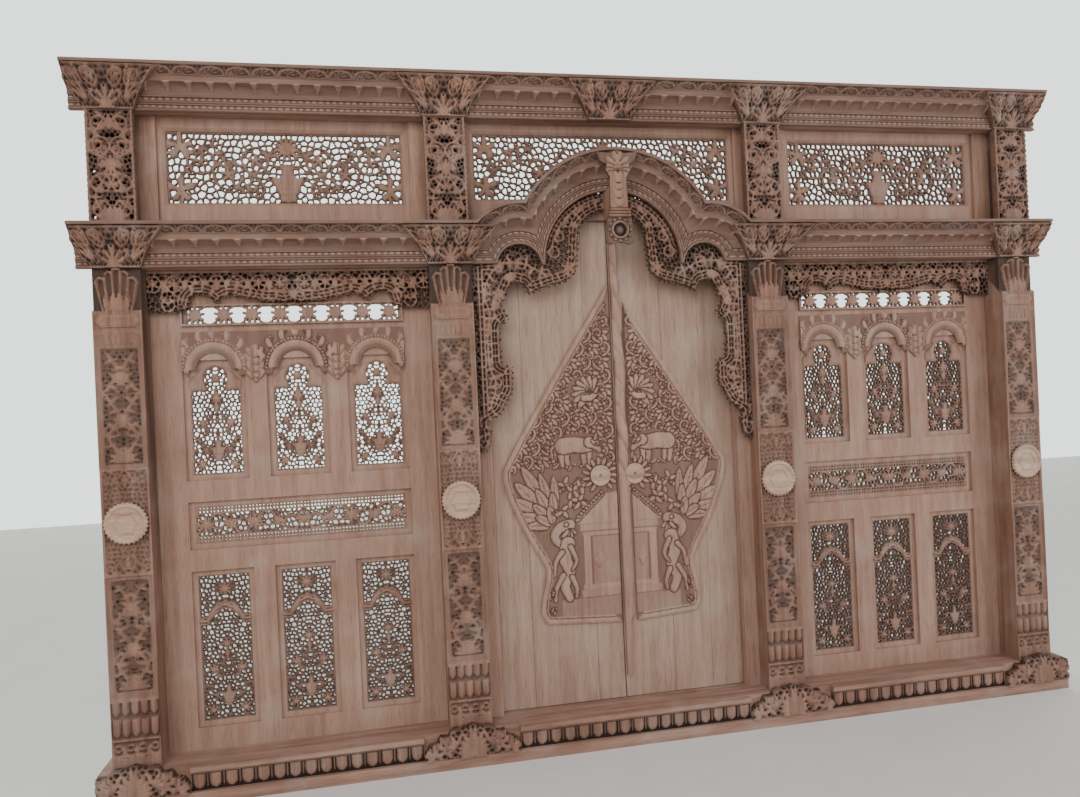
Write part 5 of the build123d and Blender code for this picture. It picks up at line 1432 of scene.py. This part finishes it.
middle_start, middle_valley, middle_crown = arch_cut(0.08)
straight_run = door_half - shoulder_x - (shoulder_r + 0.08) * math.cos(middle_start) - 0.004
shoulder_run = (shoulder_r + 0.08) * (middle_valley - middle_start)
crown_run = (arch_r + 0.08) * (math.pi / 2 - middle_crown)
runs = np.cumsum([0, straight_run, shoulder_run, crown_run])
carve = Carving(0, runs[-1], 0, row_step * (len(cornice_rows) - 1), row_step, solid=True)
carve.rise = np.full(carve.x.shape, 0.006)
for k in range(3):
    length = runs[k + 1] - runs[k]
    share = np.clip((carve.x - runs[k]) / length, 0, 1)
    repeats = [max(1, round(length / size)) for size in pitches]
    if k == 2:
        repeats = [n + 0.5 for n in repeats]
    part = (carve.x >= runs[k]) & (carve.x <= runs[k + 1])
    carve.rise = np.where(part, cornice_relief(share, carve.z, *repeats), carve.rise)


def arch_place(x, rows, rise):
    """Bends the moulding over the right half of the door: a straight end, the shoulder and half the crown."""
    height, out, flat = row_place(rows, rise)
    sides = []
    for level in (height, flat):
        start, valley, crown = arch_cut(level)
        corner_x = shoulder_x + (shoulder_r + level) * np.cos(start)
        u = np.clip((x - runs[0]) / (runs[1] - runs[0]), 0, 1)
        px, pz = 0.610 + (corner_x - 0.610) * u, arch_z - 0.003 + level
        u = (x - runs[1]) / (runs[2] - runs[1])
        turn = start + (valley - start) * u
        px = np.where(u > 0, shoulder_x + (shoulder_r + level) * np.cos(turn), px)
        pz = np.where(u > 0, shoulder_z + (shoulder_r + level) * np.sin(turn), pz)
        u = (x - runs[2]) / (runs[3] - runs[2])
        turn = crown + (math.pi / 2 - crown) * u
        px = np.where(u > 0, (arch_r + level) * np.cos(turn), px)
        pz = np.where(u > 0, arch_z + (arch_r + level) * np.sin(turn), pz)
        sides.append((px, pz))
    near = np.stack([sides[0][0], beam_face - out, sides[0][1]], 1)
    far = np.stack([sides[1][0], np.full(len(x), beam_face), sides[1][1]], 1)
    return near, far


arch_right = carve.piece("arch_cornice_right", 0, 0, cornice_teak, arch_place, soften=0)
bpy.context.view_layer.objects.active = arch_right
turned_out(arch_right)
arch_left = mirrored(arch_right, "arch_cornice_left")
for piece in (arch_right, arch_left):
    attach(piece, "frame")
    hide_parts("arch_cornice")


# Keystone: a pendant board in front of the crown of the arch, cut from one plank, with a leaf at its head,
# three turned rings and a round flower in a dish at its foot. Its stem runs back to the moulding.
key_half = (
    (0, 2.484), (0.030, 2.470), (0.086, 2.476), (0.074, 2.440), (0.046, 2.424), (0.052, 2.400),
    (0.034, 2.370), (0.038, 2.241), (0.046, 2.231), (0.046, 2.215), (0.052, 2.195), (0.056, 2.118),
    (0.060, 2.100), (0.040, 2.092), (0.018, 2.100),
)
key_outline = list(key_half) + [(-x, z) for x, z in key_half[:0:-1]]
low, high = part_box("arch_keystone")
carve = Carving(-0.088, 0.088, 2.092, 2.484, 0.0030, solid=True, base=0.002, bold=True)
carve.plate(-0.04, 0.04, 2.24, 2.38, 0.006)
for k in range(5):
    carve.leaf(0.0, 2.385, 90 - 24 * k, 0.095 - 0.010 * k, 0.026, -26, 0.011, 0.0)
for z, length in ((2.25, 0.06), (2.285, 0.06), (2.32, 0.05), (2.35, 0.045)):
    carve.leaf(0.002, z, 66, length, 0.022, 34, 0.011, 0.002)
for z in (2.235, 2.223, 2.211):
    carve.band([(-0.05, z), (0.05, z)], 0.0048, 0.012)
for k in range(12):
    carve.leaf(0.0, 2.153, 360 * k / 12, 0.050, 0.018, 0, 0.011, 0.0)
carve.ring(0.0, 2.153, 0.033, 0.0045, 0.012)
off_centre = np.hypot(carve.x, carve.z - 2.153)
bowl = -0.004 + 0.006 * np.cos(np.clip(off_centre / 0.022, 0, 1) * math.pi / 2)
carve.rise = np.where(off_centre < 0.029, bowl, carve.rise)
carve.mirror()
carve.clip(key_outline)
keystone = carve.piece("arch_keystone_carved", low.y + 0.0145, -0.166, carved_teak)
stem = plain_block("arch_keystone_stem", (-0.034, 0.034), (-0.168, -0.062), (2.218, 2.333), post_teak)
for piece in (keystone, stem):
    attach(piece, "frame")
    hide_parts("arch_keystone")


# Corbels: flared blocks under the cornices over each post, cut from thick stock, with scrolls that grow from
# a small palm leaf. The ends curl out over the moulding.
def corbel(name, node, middle):
    """One corbel; the carving is laid out flat, then flared and leaned out to its place."""
    low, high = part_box(node)
    tall = high.z - low.z
    carve = Carving(-0.17, 0.17, 0, tall, 0.0042, solid=True, base=-0.004)
    carve.lace(0.0200, 0.0058, 0.006, 91)
    scrolls = ((0.035, 0.10, 80, 0.024), (0.10, 0.095, 60, 0.024), (0.145, 0.115, 30, 0.02),
               (0.13, 0.055, 0, 0.026), (0.05, 0.05, 40, 0.022))
    for k, (a, b, angle, size) in enumerate(scrolls):
        carve.scroll(a, b, angle, size, 1 if k % 2 else -1, 0.012)
    for k in range(5):
        carve.leaf(0.0, 0.004, 90 - 30 * k, 0.075, 0.024, -20, 0.011, 0.0)
    for angle in (10, 40, 70):
        carve.leaf(0.105, 0.03, angle, 0.062, 0.022, 50, 0.011, 0.0)
    for a, b, radius in ((0.048, 0.100, 0.026), (0.112, 0.100, 0.024)):
        carve.ring(a, b, radius, 0.0034, 0.016, -0.004)
        carve.flower(a, b, 0.6 * radius, 6, 0.014)
    carve.border(0.006, 0.008)
    carve.mirror()

    def place(x, z, rise):
        levels = (0, 0.45 * tall, tall)
        half = np.interp(z, levels, (0.090, 0.1194, 0.188))
        front = np.interp(z, levels, (-0.103, -0.128, -0.184))
        px = np.clip(middle + x / 0.17 * half, low.x, high.x)
        near = np.stack([px, np.clip(front + 0.011 - rise, low.y, 0), low.z + z], 1)
        far = np.stack([px, np.full(len(x), beam_face), low.z + z], 1)
        return near, far

    return carve.piece(name, 0, 0, carved_teak, place)


corbels = [(f"lower_corbel_{k}", x) for k, x in enumerate(post_places, 1)]
corbels += [(f"upper_corbel_{k}", x) for k, x in enumerate((-1.965, -0.700, 0.0, 0.700, 1.965), 1)]
for node, x in corbels:
    piece = corbel(node + "_carved", node, x)
    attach(piece, "frame")
    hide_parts(node)


# Feet: flared aprons planted on the face of the sill in front of each post, with a fan in the middle and
# scrolls that run out to both sides.
foot_half = (
    (0, 0.174), (0.040, 0.158), (0.086, 0.156), (0.100, 0.134), (0.130, 0.138), (0.144, 0.112),
    (0.174, 0.104), (0.195, 0.067), (0.195, 0.045),
)
for number, x in enumerate(post_places, 1):
    node = f"foot_{number}"
    low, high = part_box(node)
    outline = [(min(max(x + a, low.x), high.x), b) for a, b in foot_half]
    outline += [(min(max(x - a, low.x), high.x), b) for a, b in foot_half[:0:-1]]
    carve = Carving(x - 0.196, x + 0.196, 0.045, 0.174, 0.0040, solid=True, base=-0.003)
    carve.lace(0.021, 0.0070, 0.007, 95)
    for k in range(6):
        carve.leaf(x, 0.048, 90 - 17 * k, 0.115 - 0.012 * k, 0.030, -14, 0.011, 0.0)
    scrolls = ((0.062, 0.10, 30, 0.030), (0.105, 0.085, 10, 0.030), (0.15, 0.07, 0, 0.026))
    for k, (a, b, angle, size) in enumerate(scrolls):
        carve.scroll(x + a, b, angle, size, 1 if k % 2 else -1, 0.012)
        for lean in (-50, 10, 70):
            carve.leaf(x + a, b, angle + lean, 0.05, 0.022, 40, 0.011, 0.0)
    for a in (0.09, 0.13, 0.17):
        carve.leaf(x + a, 0.05, 60, 0.045, 0.02, -40, 0.011, 0.0)
    carve.mirror()
    carve.clip(outline)
    carve.wood = np.where((carve.x < low.x) | (carve.x > high.x), -0.002, carve.wood)
    piece = carve.piece(node + "_carved", low.y + 0.013, high.y, carved_teak)
    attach(piece, "frame")
    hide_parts(node)


# Sill bands: strips let into the face of the sill between the feet, and pegged. They are carved with a row of
# rounded leaves between double grooves, under a plain fillet.
for name in ("left", "centre", "right"):
    node = f"sill_band_{name}"
    low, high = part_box(node)
    carve = Carving(low.x, high.x, low.z, high.z, 0.0042, solid=True)
    repeats = round((high.x - low.x) / 0.060)
    u = ((carve.x - low.x) / (high.x - low.x) * repeats) % 1 - 0.5
    v = (carve.z - low.z) / (high.z - low.z)
    across, down = u * 60, (1 - v) * 77
    far = np.hypot(across / 22, np.clip(down - 44, 0, None) / 26)
    leaf = np.clip(1 - far**2, 0, 1) ** 0.5
    rib = np.exp(-((across / 2.2) ** 2)) + 0.5 * (0.5 + 0.5 * np.cos((np.abs(across) * 1.3 + down * 0.55)))
    carve.rise = np.where(far < 1, 0.002 + 0.008 * leaf * (0.55 + 0.3 * rib), 0.0)
    seam = np.exp(-(((np.abs(u) - 0.5) * 60 / 2.4) ** 2)) * (down < 60)
    carve.rise = np.maximum(carve.rise, 0.007 * seam)
    carve.rise = np.where(down < 10, 0.009, carve.rise)
    carve.rise = np.where((down < 13) & (down > 9), 0.002, carve.rise)
    piece = carve.piece(node + "_carved", low.y + 0.011, high.y, carved_teak, soften=0)
    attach(piece, "frame")
    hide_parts(node)


# Plain timbers: beams, frames and the planks of the leaves stay as sawn and planed, and take the bare wood.
# They are joined with tenons and pegs, so nothing is added to them.
for node, finish in (
    ("sill_beam", beam_teak), ("top_beam", beam_teak), ("lower_beam_left", beam_teak),
    ("lower_beam_right", beam_teak),
    ("bay_frame_left", panel_teak), ("bay_frame_right", panel_teak), ("door_frame", panel_teak),
    ("door_leaf_left", plank_teak), ("door_leaf_right", plank_teak)):
    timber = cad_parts[node]
    timber.data.materials.clear()
    timber.data.materials.append(finish)
